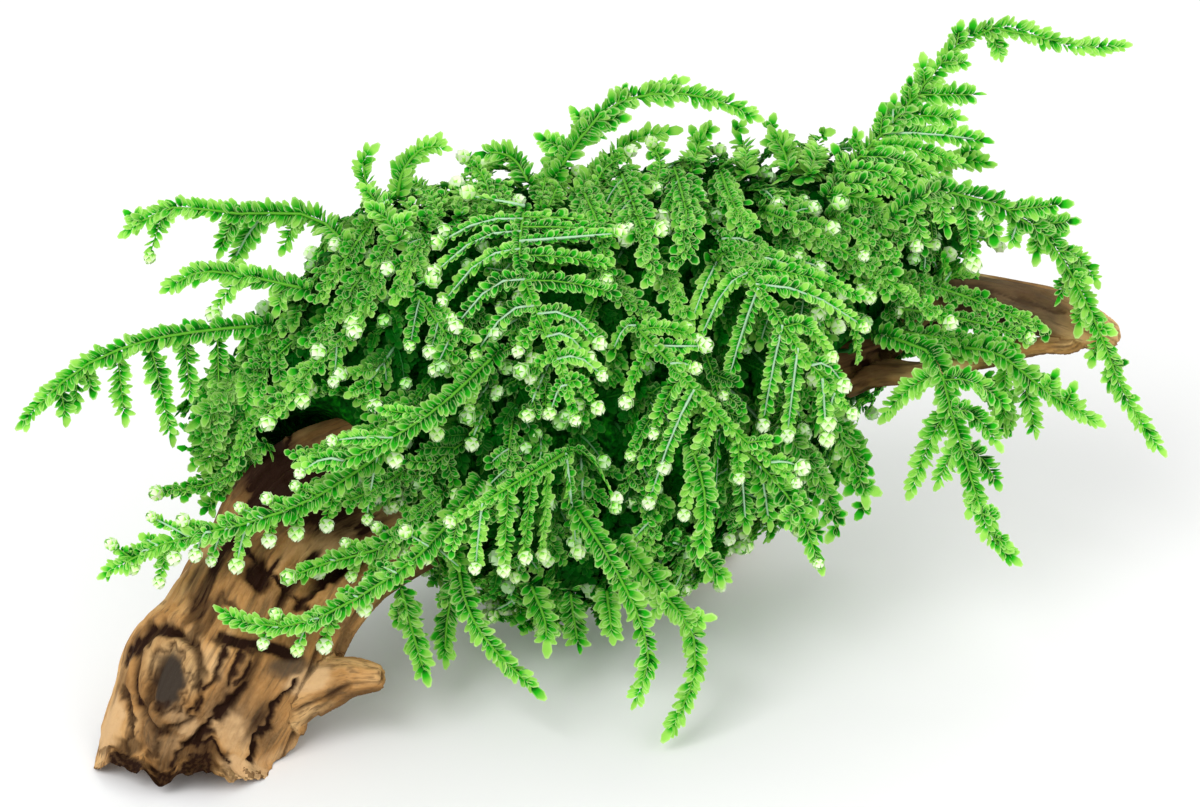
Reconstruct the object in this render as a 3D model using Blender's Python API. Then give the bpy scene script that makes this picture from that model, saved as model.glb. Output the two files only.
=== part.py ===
"""Weeping moss grown over a bent piece of driftwood.

The piece stands on the broken end of its trunk and on a rear root. The trunk leans back and to the
right, through a cushion of moss, and forks into two branches. Fronds arch out of the moss and hang.

The origin is on the ground, under the middle of the piece: +X to the right, +Y to the back, +Z up.
Places are given as (across, up, toward) in millimetres, on an upright picture of the piece that an
eye sees from EYE_DISTANCE, looking down at EYE_TILT. Toward is how much nearer the eye a place is.
"""

import math

import bmesh
import bpy
import numpy as np

MM = 0.001

EYE_TILT = math.radians(30)
EYE_DISTANCE = 675.0
PICTURE_MIDDLE_UP = 58.0
# Where the ground under the middle of the piece is, from the ground under the picture's middle.
ORIGIN_X = 0.0
ORIGIN_Y = 44.6

WOOD_GAP = 0.6
FROND_GAP = 0.5

# Each limb is a row of stations: (across, up, toward, half width, half depth).
TRUNK = (
    (-62.8, -7.0, -11.0, 13.8, 10.0),
    (-62.0, 3.0, -10.5, 14.0, 10.2),
    (-58.5, 13.0, -9.5, 14.7, 10.5),
    (-53.6, 21.3, -9.5, 14.1, 10.5),
    (-49.0, 30.5, -11.5, 13.4, 10.2),
    (-42.0, 39.8, -15.0, 13.8, 10.0),
    (-30.0, 45.5, -19.5, 12.6, 10.0),
    (-17.0, 50.0, -24.0, 11.0, 9.5),
    (-2.0, 54.5, -27.0, 10.0, 9.0),
    (14.0, 59.5, -29.0, 9.0, 8.5),
    (29.0, 64.5, -31.0, 8.0, 8.0),
    (40.0, 68.0, -32.0, 6.4, 6.6),
)
SIDE_STUB = (
    (-47.5, 13.5, -9.0, 6.2, 6.5),
    (-42.0, 14.8, -7.5, 4.8, 5.2),
    (-38.0, 16.2, -6.0, 3.4, 3.8),
    (-35.2, 16.6, -5.0, 2.5, 2.8),
    (-33.2, 17.0, -4.5, 1.9, 2.2),
)
UPPER_BRANCH = (
    (38.0, 68.0, -32.0, 5.6, 5.6),
    (46.0, 72.0, -32.0, 4.6, 4.8),
    (56.0, 74.0, -32.0, 3.6, 4.2),
    (66.0, 71.8, -32.0, 3.9, 4.0),
    (72.5, 69.4, -33.0, 3.2, 3.4),
    (76.3, 67.6, -34.0, 2.4, 2.6),
)
LOWER_BRANCH = (
    (30.0, 60.5, -31.0, 3.4, 4.0),
    (36.0, 61.0, -29.0, 2.6, 3.0),
    (41.0, 62.6, -28.0, 2.1, 2.5),
    (48.5, 63.0, -28.0, 1.7, 2.1),
    (57.0, 64.6, -28.0, 1.6, 1.9),
    (66.0, 66.4, -28.5, 1.3, 1.6),
)
REAR_ROOT = (
    (-2.0, 53.0, -28.0, 7.4, 7.0),
    (5.0, 47.0, -40.0, 6.4, 6.0),
    (9.5, 42.0, -50.0, 5.8, 5.6),
    (13.0, 38.0, -58.0, 6.4, 6.0),
    (14.5, 34.0, -65.0, 7.6, 7.0),
)

# Swellings and hollows of the trunk: (along, degrees round, half length, half breadth, height).
# Degrees are 0 at the right of the way it grows, 90 at the front and 180 at the left.
TRUNK_RELIEF = (
    (24.0, 128.0, 9.0, 7.0, 1.6),
    (45.0, 178.0, 4.0, 5.0, 1.8),
    (54.0, 90.0, 9.0, 3.2, -2.6),
    (36.0, 70.0, 12.0, 2.0, -1.2),
    (62.0, 20.0, 14.0, 4.0, 1.2),
    (62.0, 150.0, 14.0, 4.0, 1.4),
)
TRUNK_RIDGES = 7
RIDGE_HEIGHT = 0.45
RIDGE_TWIST = 0.035

# Each limb: its stations, its swellings, the ridges round it and the phase of its unevenness.
LIMBS = {
    "driftwood_trunk": (TRUNK, TRUNK_RELIEF, TRUNK_RIDGES, 0.0),
    "driftwood_side_stub": (SIDE_STUB, (), 0, 0.5),
    "driftwood_upper_branch": (UPPER_BRANCH, (), 0, 1.1),
    "driftwood_lower_branch": (LOWER_BRANCH, (), 0, 3.0),
    "driftwood_rear_root": (REAR_ROOT, (), 0, 2.3),
}
SIDES_OF_TRUNK = 20
SIDES_OF_BRANCH = 10
RING_SPACING = 4.6

# The room that the moss leaves for the limbs in it. It is coarser than they are, and so larger.
LIMBS_IN_MOSS = (
    "driftwood_trunk",
    "driftwood_upper_branch",
    "driftwood_lower_branch",
    "driftwood_rear_root",
)
SIDES_IN_MOSS = 14
SPACING_IN_MOSS = 8.0
GAP_IN_MOSS = 1.7

# Ellipsoids cut from the trunk: middle, half sizes, and the turn in the picture in degrees.
TRUNK_HOLLOWS = {
    "knot_hollow": ((-65.0, 16.4, 1.2), (2.6, 4.6, 3.0), -6),
    "long_hollow": ((-37.5, 35.5, -4.8), (7.0, 1.6, 2.6), 24),
    "broken_notch_left": ((-69.5, 0.0, 0.0), (3.2, 2.2, 18.0), 0),
    "broken_notch_right": ((-59.5, -0.4, 0.0), (2.6, 2.6, 18.0), 0),
}

# The moss cushion: (across, up, toward, half height, half depth) of its upright sections.
CUSHION = (
    (-55.0, 57.0, -17.0, 7.0, 6.0),
    (-50.0, 59.0, -17.0, 12.5, 10.0),
    (-43.5, 61.8, -17.5, 17.0, 13.5),
    (-37.5, 64.6, -18.5, 21.0, 16.0),
    (-30.0, 64.6, -20.0, 24.5, 18.5),
    (-22.5, 61.6, -22.0, 28.5, 20.5),
    (-15.0, 60.5, -24.0, 31.0, 21.5),
    (-6.0, 60.5, -26.0, 32.5, 22.0),
    (3.0, 61.5, -27.0, 32.5, 22.0),
    (12.0, 63.5, -28.0, 31.0, 22.0),
    (21.0, 67.0, -29.0, 28.5, 21.0),
    (30.0, 70.0, -30.0, 25.5, 19.0),
    (37.0, 76.0, -31.0, 19.5, 15.0),
    (43.0, 80.5, -31.0, 14.0, 11.0),
    (48.5, 83.0, -31.0, 8.0, 7.0),
    (51.5, 83.5, -31.0, 4.0, 4.0),
)
SIDES_OF_CUSHION = 20
CUSHION_SPACING = 5.4
CUSHION_LUMP = 0.6

STEM_HALF_WIDTH = 1.2
STEM_HALF_DEPTH = 0.8
BRANCHLET_LEAN = math.radians(48)
BRANCHLET_BEND_AT = 0.55
BRANCHLET_TAPER = 0.75
LEAST_BENT_BRANCHLET = 4.0
# Down, in picture coordinates.
DOWN = np.array((0.0, -math.cos(EYE_TILT), -math.sin(EYE_TILT)))

# Each frond: pairs of branchlets, the longest on the left and right of the way the stem grows, and
# the stem's points from root to tip. It lies in front of the moss, or behind it if named back.
FRONDS = {
    "frond_left_top": (5, 6.5, 1.5, (
        (-38, 81.8, -16), (-43.5, 86.5, -15), (-55, 87.5, -13), (-64.5, 88, -11), (-72.5, 83, -10),
    )),
    "frond_left_short": (4, 5, 1.5, (
        (-43.5, 75, -9), (-52.5, 77, -7), (-60, 77.7, -5), (-66.3, 74.5, -4),
    )),
    "frond_left_long": (7, 13, 2, (
        (-49.5, 69.8, -8), (-58.5, 69, -5), (-69, 67.2, -3), (-78.8, 62.7, -2), (-87.8, 54, -1),
    )),
    "frond_left_hanging": (4, 2.5, 6, (
        (-52.5, 64.5, -18), (-57, 58.5, -18), (-58.2, 49.5, -18), (-57.8, 42.8, -18),
    )),
    "frond_left_front": (3, 4, 4, (
        (-37.5, 69, -2), (-45, 61.5, -1), (-49.5, 55.5, -1),
    )),
    "frond_trunk_long": (6, 5, 4, (
        (-30, 52.5, 2), (-42, 44.3, 3), (-52.5, 40.2, 4), (-66, 36.8, 3), (-75.8, 31.5, 2),
    )),
    "frond_trunk_short": (3, 2.5, 2, (
        (-24.5, 41, -3), (-33, 36.3, -4), (-40.5, 34.2, -3), (-46.5, 32, 0),
    )),
    "frond_trunk_low": (5, 5, 2, (
        (-18, 46.5, 1), (-25.5, 36.8, 2), (-34.5, 30, 3), (-45, 24.8, 4.5), (-53.3, 25.2, 5), (-58, 28, 5),
    )),
    "frond_trunk_upper": (4, 5, 3, (
        (-15, 66, 4), (-25.5, 56.5, 7), (-37.5, 49.8, 7), (-46.5, 48.5, 5),
    )),
    "frond_top_left": (3, 4.5, 2, (
        (-30, 82.5, -20), (-34.2, 89.3, -20), (-35.7, 94, -20), (-33, 96.5, -20),
    )),
    "frond_top_left_arch": (2, 2, 3, (
        (-30.5, 88.5, -12), (-29.5, 93, -12), (-26.3, 96.4, -12), (-21.8, 96, -12),
    )),
    "frond_top_curl": (2, 2, 3, (
        (-10.5, 90.8, -19), (-12.8, 94.5, -19), (-15.8, 95.7, -19), (-18.8, 94.8, -19),
    )),
    "frond_top_middle": (6, 3, 2.5, (
        (-6.8, 91.8, -16), (-3, 97.8, -16), (2.3, 103, -16),
        (9, 104.5, -16), (16.5, 103.8, -16), (24.8, 100.3, -16),
    )),
    "frond_top_second": (3, 2, 3, (
        (-3.5, 89.5, -25), (0.8, 94.2, -25), (6, 97.8, -25), (12, 99, -25),
    )),
    "frond_top_tuft_left": (1, 2, 2, (
        (13.5, 92.3, -22), (14.5, 96, -22), (15.8, 99.3, -22),
    )),
    "frond_top_tuft_middle": (1, 2, 2, (
        (21.8, 92.5, -25), (21.8, 96, -25), (20.5, 99, -25),
    )),
    "frond_top_tuft_right": (1, 2, 2, (
        (28.5, 92.5, -22), (27.5, 96, -22), (25.5, 99.4, -22),
    )),
    "frond_top_tuft_far": (1, 2, 2, (
        (31.5, 92.3, -36), (32.5, 96, -36), (33.5, 99.5, -36),
    )),
    "frond_right_tall": (8, 2.5, 11, (
        (34, 89, -27), (38.3, 93.8, -28), (45, 102, -30), (48.8, 108, -31),
        (54, 112.2, -32), (61.5, 114.8, -33), (70.5, 111.8, -33), (80.5, 111.8, -33),
    )),
    "frond_back_upper_right": (3, 3, 4, (
        (37.5, 90, -46), (46.5, 93.8, -44), (54, 94.5, -42), (60, 93.8, -42),
    )),
    "frond_right_arch": (8, 5, 9, (
        (42, 84.5, -15), (49.5, 89.6, -16), (60, 87.8, -19), (67.5, 82.5, -21),
        (72, 75, -23), (75.8, 66.8, -24), (79, 58.5, -24), (85, 49.8, -24),
    )),
    "frond_right_front": (4, 4, 4, (
        (28.5, 86, -7), (37.5, 80.3, -12), (45, 75, -16), (52, 70.5, -19),
    )),
    "frond_right_hanging": (5, 7, 11, (
        (42, 68.5, -15), (50.3, 66, -16), (54, 57, -16), (57.8, 45, -16), (63.3, 33.8, -16),
    )),
    "frond_right_low": (4, 3, 8, (
        (53.5, 66.5, -25), (60, 65.3, -22), (66.8, 60, -22), (75.8, 54.5, -22),
    )),
    "frond_right_short": (2, 2.5, 2.5, (
        (57.5, 62, -26), (60.5, 58, -26), (61, 53.5, -26),
    )),
    "frond_bottom_right": (4, 4, 4, (
        (18, 54, -9), (24.8, 48, -9), (30, 41.3, -8), (32.6, 34.5, -8),
    )),
    "frond_bottom_right_inner": (3, 3, 3, (
        (27, 55, -13), (33, 46.5, -14), (35.7, 39, -14),
    )),
    "frond_bottom_right_outer": (3, 3.5, 3.5, (
        (32, 59, -19), (36.8, 53, -20), (39, 47, -20), (39.8, 42.8, -20),
    )),
    "frond_bottom_comb": (3, 4, 4, (
        (13.5, 52.5, 1), (15.8, 43.5, 0), (15, 35, -1),
    )),
    "frond_bottom_side": (1, 2, 2, (
        (13.5, 37.5, -13), (17.3, 33, -13), (20, 31.2, -13),
    )),
    "frond_bottom_long": (5, 3.5, 3.5, (
        (-4.5, 43.5, -1), (1.5, 34.5, -2), (6, 25.5, -2), (7.2, 18.8, -2), (4.5, 11.7, -2),
    )),
    "frond_bottom_lowest": (4, 4, 3.5, (
        (3, 37.5, -7), (9, 30, -8), (14, 23.3, -8), (13.5, 15, -8), (9.5, 7.5, -8),
    )),
    "frond_bottom_left": (4, 3, 3, (
        (-21.5, 36, -6), (-20.3, 28.5, -6), (-16.5, 21.8, -6), (-8.6, 14, -6),
    )),
    "frond_bottom_left_short": (3, 3, 3, (
        (-30, 31, -9), (-28.2, 24, -10), (-25.8, 16, -10),
    )),
    "frond_bottom_left_stub": (1, 2, 2, (
        (-21.5, 33, -18), (-23, 25, -17), (-23.3, 18.5, -16),
    )),
    "frond_bottom_tuft_left": (1, 2.5, 2.5, (
        (-10.5, 31, -14), (-8.3, 25.5, -14), (-8, 20.7, -14),
    )),
    "frond_bottom_tuft_middle": (1, 2, 2, (
        (-4.5, 30, -20), (-3.8, 25, -20), (-3, 20.3, -20),
    )),
    "frond_bottom_tuft_right": (1, 2, 2, (
        (1, 30, -14), (1.5, 26, -14), (2, 22, -14),
    )),
    "frond_front_top": (6, 13, 13, (
        (-11.3, 87.8, -2), (-12, 79.5, 1), (-9, 70.5, 1), (-5.7, 63, 1), (-3.8, 56, 1),
    )),
    "frond_front_left": (3, 6, 6, (
        (-28, 75, -2), (-23, 68, -1), (-20.7, 60, 0),
    )),
    "frond_front_right": (5, 9, 9, (
        (17.3, 84, -3), (24, 75, -2), (30, 66, -3), (37.5, 57, -8),
    )),
    "frond_front_middle": (5, 8, 8, (
        (4.5, 70.5, 0), (12, 62.5, 0), (19.5, 54.5, -2), (29, 46.5, -6),
    )),
    "frond_front_comb": (4, 6, 3, (
        (-4.5, 51, 5), (-12, 46.5, 6), (-22, 40.5, 6.5),
    )),
    "frond_back_left": (3, 6, 6, (
        (-24, 80, -42), (-28, 72, -44), (-31, 62, -46), (-32, 52, -46),
    )),
    "frond_back_middle": (4, 8, 8, (
        (-6, 86, -44), (-7, 76, -50), (-8, 64, -52), (-9, 52, -54),
    )),
    "frond_back_right": (4, 7, 7, (
        (20, 84, -48), (24, 74, -52), (27, 64, -54), (28, 54, -54),
    )),
    "frond_back_far_left": (3, 5, 5, (
        (-43, 68, -32), (-48, 60, -34), (-51, 50, -34),
    )),
    "frond_back_low": (3, 5, 5, (
        (-14, 56, -50), (-19, 47, -52), (-22, 40, -50),
    )),
    "frond_back_low_right": (2, 5, 5, (
        (31, 60, -50), (35, 52, -52), (37, 46, -52),
    )),
    "frond_back_far_right": (3, 4, 4, (
        (40, 80, -44), (48, 74, -47), (53, 66, -47),
    )),
}


def picture_axes():
    """The directions of across, up and toward in space, as the columns of a matrix."""
    rise, drop = math.sin(EYE_TILT), math.cos(EYE_TILT)
    return np.array([(1.0, 0.0, 0.0), (0.0, rise, -drop), (0.0, drop, rise)])


def in_space(places):
    """Points in metres of places given as (across, up, toward) in millimetres."""
    p = np.array(places, float).reshape(-1, 3)
    shrink = (EYE_DISTANCE - p[:, 2:]) / EYE_DISTANCE
    middle = np.array([(0.0, PICTURE_MIDDLE_UP)])
    flat = middle + (p[:, :2] - middle) * shrink
    points = np.hstack([flat, p[:, 2:]]) @ picture_axes().T
    return (points - (ORIGIN_X, ORIGIN_Y, 0.0)) * MM


def unit(vectors):
    return vectors / np.linalg.norm(vectors, axis=-1, keepdims=True)


def smooth_path(rows, count):
    """count rows on a Catmull-Rom curve through rows, evenly spaced by their first three columns."""
    p = np.asarray(rows, float)
    p = np.vstack([2 * p[0] - p[1], p, 2 * p[-1] - p[-2]])
    t = np.linspace(0, 1, 24, endpoint=False)[:, None]
    fine = []
    for a, b, c, d in zip(p, p[1:], p[2:], p[3:]):
        bend = (2 * a - 5 * b + 4 * c - d) * t**2 + (3 * b - a - 3 * c + d) * t**3
        fine.append(b + 0.5 * ((c - a) * t + bend))
    fine = np.vstack([*fine, p[-2:-1]])
    steps = np.linalg.norm(np.diff(fine[:, :3], axis=0), axis=1)
    along = np.concatenate([[0], np.cumsum(steps)])
    at = np.linspace(0, along[-1], count)
    return np.stack([np.interp(at, along, column) for column in fine.T], axis=1)


def section_frames(middle):
    """Tangent, right and front directions along a middle line, front being the nearest to the eye."""
    tangent = unit(np.gradient(middle, axis=0))
    right = unit(np.cross(tangent, (0.0, 0.0, 1.0)))
    return tangent, right, np.cross(right, tangent)


def mesh_object(name, bm, material, collection, sharp_degrees=50):
    """The bmesh as a named object, smooth but for its sharp edges."""
    bmesh.ops.recalc_face_normals(bm, faces=bm.faces)
    mesh = bpy.data.meshes.new(name)
    bm.to_mesh(mesh)
    bm.free()
    mesh.shade_smooth()
    mesh.set_sharp_from_angle(angle=math.radians(sharp_degrees))
    mesh.materials.append(material)
    made = bpy.data.objects.new(name, mesh)
    collection.objects.link(made)
    return made


def cutter_object(name, bm, cutters):
    made = mesh_object(name, bm, bpy.data.materials["driftwood"], cutters)
    made.hide_render = True
    made.display_type = "WIRE"
    return made


def loft(rings, ends):
    """A bmesh of faces between rings of points, with a low dome on each end."""
    bm = bmesh.new()
    rings = [[bm.verts.new(point) for point in ring] for ring in rings]
    count = len(rings[0])
    for low, high in zip(rings, rings[1:]):
        for k in range(count):
            bm.faces.new((low[k], low[(k + 1) % count], high[(k + 1) % count], high[k]))
    for ring, end in ((rings[0], ends[0]), (rings[-1], ends[1])):
        cap = bm.faces.new(ring)
        bmesh.ops.poke(bm, faces=[cap])["verts"][0].co = end
    return bm


def relief(along, angles, radius, marks):
    """Height of the swellings and hollows round a limb, each a smooth bump."""
    height = np.zeros(len(angles))
    for at, degrees, half_length, half_breadth, most in marks:
        turn = (angles - math.radians(degrees) + math.pi) % (2 * math.pi) - math.pi
        away = ((along - at) / half_length) ** 2 + (turn * radius / half_breadth) ** 2
        height += most * np.exp(-away)
    return height


def limb_mesh(shape, sides, spacing, grow=0.0):
    """A loft of uneven elliptical sections along a path, grown outward all over by grow."""
    stations, marks, ridges, phase = shape
    stations = np.array(stations)
    length = np.linalg.norm(np.diff(stations[:, :3], axis=0), axis=1).sum()
    count = max(5, round(length / spacing) + 1)
    rows = smooth_path(stations, count)
    middle, half = rows[:, :3], rows[:, 3:] + grow
    _, right, front = section_frames(middle)
    angles = np.arange(sides) * 2 * math.pi / sides
    rings = []
    for i in range(count):
        along = length * i / (count - 1)
        radius = half[i].mean()
        swell = relief(along, angles, radius, marks)
        swell += 0.03 * radius * np.sin(2 * angles + 0.16 * along + phase)
        if ridges:
            swell += RIDGE_HEIGHT * np.sin(ridges * angles + RIDGE_TWIST * along)
        wide = (half[i, 0] + swell) * np.cos(angles)
        deep = (half[i, 1] + swell) * np.sin(angles)
        rings.append(in_space(middle[i] + wide[:, None] * right[i] + deep[:, None] * front[i]))
    ends = []
    for end, inner in ((0, 1), (-1, -2)):
        outward = unit(middle[end] - middle[inner])
        ends.append(in_space(middle[end] + outward * (0.3 * half[end].min() + grow))[0])
    return loft(rings, ends)


def hollow_mesh(middle, half, turn_degrees):
    """An ellipsoid whose axes are the picture's, turned in the picture."""
    bm = bmesh.new()
    bmesh.ops.create_uvsphere(bm, u_segments=12, v_segments=8, radius=1.0)
    turn = math.radians(turn_degrees)
    c, s = math.cos(turn), math.sin(turn)
    spin = np.array([(c, -s, 0), (s, c, 0), (0, 0, 1)])
    for v in bm.verts:
        v.co = in_space(middle + spin @ (np.array(v.co) * half))[0]
    return bm


def ground_mesh():
    """A block under the ground plane, wider than the piece."""
    side, depth = 0.4, 0.05
    bm = bmesh.new()
    bmesh.ops.create_cube(bm, size=1.0)
    bmesh.ops.scale(bm, verts=bm.verts, vec=(side, side, depth))
    bmesh.ops.translate(bm, verts=bm.verts, vec=(0, 0, -depth / 2))
    return bm


def cut(target, cutter):
    """Takes the cutter's volume away from the target."""
    modifier = target.modifiers.new("cut_" + cutter.name, "BOOLEAN")
    modifier.operation = "DIFFERENCE"
    modifier.solver = "EXACT"
    modifier.object = cutter


def build_driftwood(wood, collection, cutters):
    """The trunk and what forks from it, each fork a solid that stops short of the trunk by the gap."""
    limbs = {}
    for name, shape in LIMBS.items():
        sides = SIDES_OF_TRUNK if shape is LIMBS["driftwood_trunk"] else SIDES_OF_BRANCH
        limbs[name] = mesh_object(name, limb_mesh(shape, sides, RING_SPACING), wood, collection)
    trunk = limbs["driftwood_trunk"]
    room = limb_mesh(LIMBS["driftwood_trunk"], SIDES_OF_TRUNK, RING_SPACING, WOOD_GAP)
    around_trunk = cutter_object("room_for_trunk", room, cutters)
    room = limb_mesh(LIMBS["driftwood_upper_branch"], SIDES_OF_BRANCH, RING_SPACING, WOOD_GAP)
    around_branch = cutter_object("room_for_upper_branch", room, cutters)
    ground = cutter_object("below_ground", ground_mesh(), cutters)
    for name, hollow in TRUNK_HOLLOWS.items():
        cut(trunk, cutter_object(name, hollow_mesh(*hollow), cutters))
    for name, fork in limbs.items():
        if fork is not trunk:
            cut(fork, around_trunk)
    cut(limbs["driftwood_lower_branch"], around_branch)
    cut(limbs["driftwood_rear_root"], ground)
    cut(trunk, ground)


def cushion_sections(across):
    """Middle up, toward, half height and half depth of the cushion at places across it."""
    stations = np.array(CUSHION)
    return [np.interp(across, stations[:, 0], stations[:, i]) for i in range(1, 5)]


def build_cushion(moss, collection, cutters):
    """The moss cushion: a lumpy loft of upright elliptical sections, hollowed for the wood in it."""
    stations = np.array(CUSHION)
    width = stations[-1, 0] - stations[0, 0]
    places = np.linspace(stations[0, 0], stations[-1, 0], round(width / CUSHION_SPACING) + 1)
    up, toward, high, deep = cushion_sections(places)
    angles = np.arange(SIDES_OF_CUSHION) * 2 * math.pi / SIDES_OF_CUSHION
    rings = []
    for i, across in enumerate(places):
        lump = CUSHION_LUMP * np.sin(4 * angles + 0.5 * i) * np.sin(0.21 * across + 1)
        ring = np.stack(
            [
                np.full(SIDES_OF_CUSHION, across),
                up[i] + (high[i] + lump) * np.cos(angles),
                toward[i] + (deep[i] + lump) * np.sin(angles),
            ],
            axis=1,
        )
        rings.append(in_space(ring))
    ends = []
    for i, outward in ((0, -1), (-1, 1)):
        ends.append(in_space((places[i] + outward * 0.5 * deep[i], up[i], toward[i]))[0])
    cushion = mesh_object("moss_cushion", loft(rings, ends), moss, collection, sharp_degrees=90)
    for name in LIMBS_IN_MOSS:
        room = limb_mesh(LIMBS[name], SIDES_IN_MOSS, SPACING_IN_MOSS, GAP_IN_MOSS)
        cut(cushion, cutter_object(name.replace("driftwood", "moss_room_for"), room, cutters))


def clear_of_cushion(places, clearance, facing, on_it=False):
    """The places, moved toward the eye (facing 1) or away (-1) where they'd be in the cushion.

    With on_it, a place over the cushion moves onto it from in front as well.
    """
    p = np.array(places, float)
    up, toward, high, deep = cushion_sections(p[:, 0])
    inside = (p[:, 0] > CUSHION[0][0] - 4) & (p[:, 0] < CUSHION[-1][0] + 4)
    margin = clearance + CUSHION_LUMP
    height = (p[:, 1] - up) / (high + margin)
    bulge = (deep + margin) * np.sqrt(np.clip(1 - height**2, 0, 1))
    over = inside & (np.abs(height) < 1)
    surface = toward + facing * bulge
    moved = over & (on_it | (facing * (p[:, 2] - surface) < 0))
    p[moved, 2] = surface[moved]
    return p


def frond_mesh(pairs, left, right, stem, facing):
    """A flattened four-sided stem with some of its side faces drawn out into tapering branchlets."""
    segments = 2 * pairs + 1
    clearance = STEM_HALF_WIDTH + FROND_GAP
    root = clear_of_cushion(stem[:1], clearance, facing, on_it=True)
    path = smooth_path([*root, *stem[1:]], segments + 1)
    middle = clear_of_cushion(path, clearance, facing)
    tangent, side, front = section_frames(middle)
    corners = np.array([(1, 1), (-1, 1), (-1, -1), (1, -1)])
    rings = []
    for i in range(segments + 1):
        taper = 1 - 0.5 * i / segments
        wide = corners[:, :1] * STEM_HALF_WIDTH * taper * side[i]
        deep = corners[:, 1:] * STEM_HALF_DEPTH * taper * front[i]
        rings.append(in_space(middle[i] + wide + deep))
    ends = []
    for end, inner in ((0, 1), (-1, -2)):
        outward = unit(middle[end] - middle[inner])
        ends.append(in_space(middle[end] + outward * STEM_HALF_WIDTH)[0])
    bm = loft(rings, ends)
    faces = list(bm.faces)
    for i in range(1, segments, 2):
        fall = 0.25 + 0.75 * (1 - (i - 1) / segments) ** 0.9
        for k, hand, longest in ((1, -1, left), (3, 1, right)):
            length = longest * fall
            start = (middle[i] + middle[i + 1]) / 2
            reach = tangent[i] * math.cos(BRANCHLET_LEAN) + hand * side[i] * math.sin(BRANCHLET_LEAN)
            reach = unit(reach + 0.3 * DOWN)
            places = [start + reach * length * BRANCHLET_BEND_AT, start + reach * length]
            bend, tip = clear_of_cushion(places, clearance, facing)
            draw_out(bm, faces[4 * i + k], bend if length > LEAST_BENT_BRANCHLET else None, tip)
    return bm


def draw_out(bm, face, bend, tip):
    """Draws a face out into a branchlet: to a narrower section at the bend, if any, and a pointed tip."""
    if bend is not None:
        goal = in_space(bend)[0]
        face = bmesh.ops.extrude_discrete_faces(bm, faces=[face])["faces"][0]
        centre = np.array(face.calc_center_median())
        for v in face.verts:
            v.co = goal + (np.array(v.co) - centre) * BRANCHLET_TAPER
    bmesh.ops.poke(bm, faces=[face])["verts"][0].co = in_space(tip)[0]


def finish_of(name, colour, roughness):
    """A material with the part's own colour and roughness."""
    material = bpy.data.materials.new(name)
    material.use_nodes = True
    shader = material.node_tree.nodes["Principled BSDF"]
    shader.inputs["Base Color"].default_value = (*colour, 1.0)
    shader.inputs["Roughness"].default_value = roughness
    shader.inputs["Metallic"].default_value = 0.0
    material.diffuse_color = (*colour, 1.0)
    return material


def collection_named(name):
    made = bpy.data.collections.new(name)
    bpy.context.scene.collection.children.link(made)
    return made


def main():
    for leftover in list(bpy.data.objects):
        bpy.data.objects.remove(leftover)
    parts = collection_named("weeping_moss_on_driftwood")
    cutters = collection_named("cutters")
    wood = finish_of("driftwood", (0.20, 0.11, 0.055), 0.8)
    leaves = finish_of("moss_leaf", (0.16, 0.42, 0.04), 0.55)
    mat = finish_of("moss_mat", (0.03, 0.16, 0.02), 0.8)
    build_driftwood(wood, parts, cutters)
    build_cushion(mat, parts, cutters)
    for name, (pairs, left, right, stem) in FRONDS.items():
        facing = -1 if "back" in name else 1
        mesh_object(name, frond_mesh(pairs, left, right, stem, facing), leaves, parts)


if __name__ == "__main__":
    main()
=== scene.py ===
"""Weeping moss on driftwood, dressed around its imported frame.

Places are worked out as (across, up, toward) in millimetres, on an upright picture of the piece that
an eye sees from EYE_DISTANCE, looking down at EYE_TILT, and then put into space in metres.
"""

import math
from dataclasses import dataclass, replace

import bpy
import numpy as np
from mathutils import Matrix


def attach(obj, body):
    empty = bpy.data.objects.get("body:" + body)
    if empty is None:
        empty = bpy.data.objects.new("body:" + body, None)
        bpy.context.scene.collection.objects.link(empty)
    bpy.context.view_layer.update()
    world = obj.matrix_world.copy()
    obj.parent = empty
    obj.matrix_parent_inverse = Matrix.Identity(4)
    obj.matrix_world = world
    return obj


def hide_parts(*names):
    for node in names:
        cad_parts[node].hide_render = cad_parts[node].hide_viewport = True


bl_info = {
    "name": "Weeping moss on driftwood",
    "version": (1, 0, 0),
    "blender": (4, 5, 0),
    "location": "3D View > Sidebar > Weeping moss",
    "description": "Grows weeping moss on a piece of driftwood and sets a plain stage for it",
    "category": "Add Mesh",
}

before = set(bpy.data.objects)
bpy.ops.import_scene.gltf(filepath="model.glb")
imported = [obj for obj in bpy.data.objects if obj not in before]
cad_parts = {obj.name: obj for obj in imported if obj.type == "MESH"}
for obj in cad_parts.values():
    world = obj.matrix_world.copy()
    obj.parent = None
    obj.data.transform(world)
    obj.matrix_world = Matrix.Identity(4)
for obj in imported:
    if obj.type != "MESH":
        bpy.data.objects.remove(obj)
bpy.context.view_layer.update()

MM = 0.001
EYE_TILT = math.radians(30)
EYE_DISTANCE = 675.0
# The middle of the picture, across and up, and the place that is put at the origin.
PICTURE_MIDDLE = np.array((0.0, 58.0))
ORIGIN = np.array((0.0, 44.6, 0.0))
EYE_LENS = 135.0
SENSOR_WIDTH = 36.0
# Down and toward the eye, in picture coordinates.
DOWN = np.array((0.0, -math.cos(EYE_TILT), -math.sin(EYE_TILT)))
TOWARD = np.array((0.0, 0.0, 1.0))
# Steps of a curve between two of its rows, and of a limb's middle line.
CURVE_STEPS = 24
LIMB_STEPS = 90
# How many places are set against the limbs at once, to spare memory.
BLOCK = 40000

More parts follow.
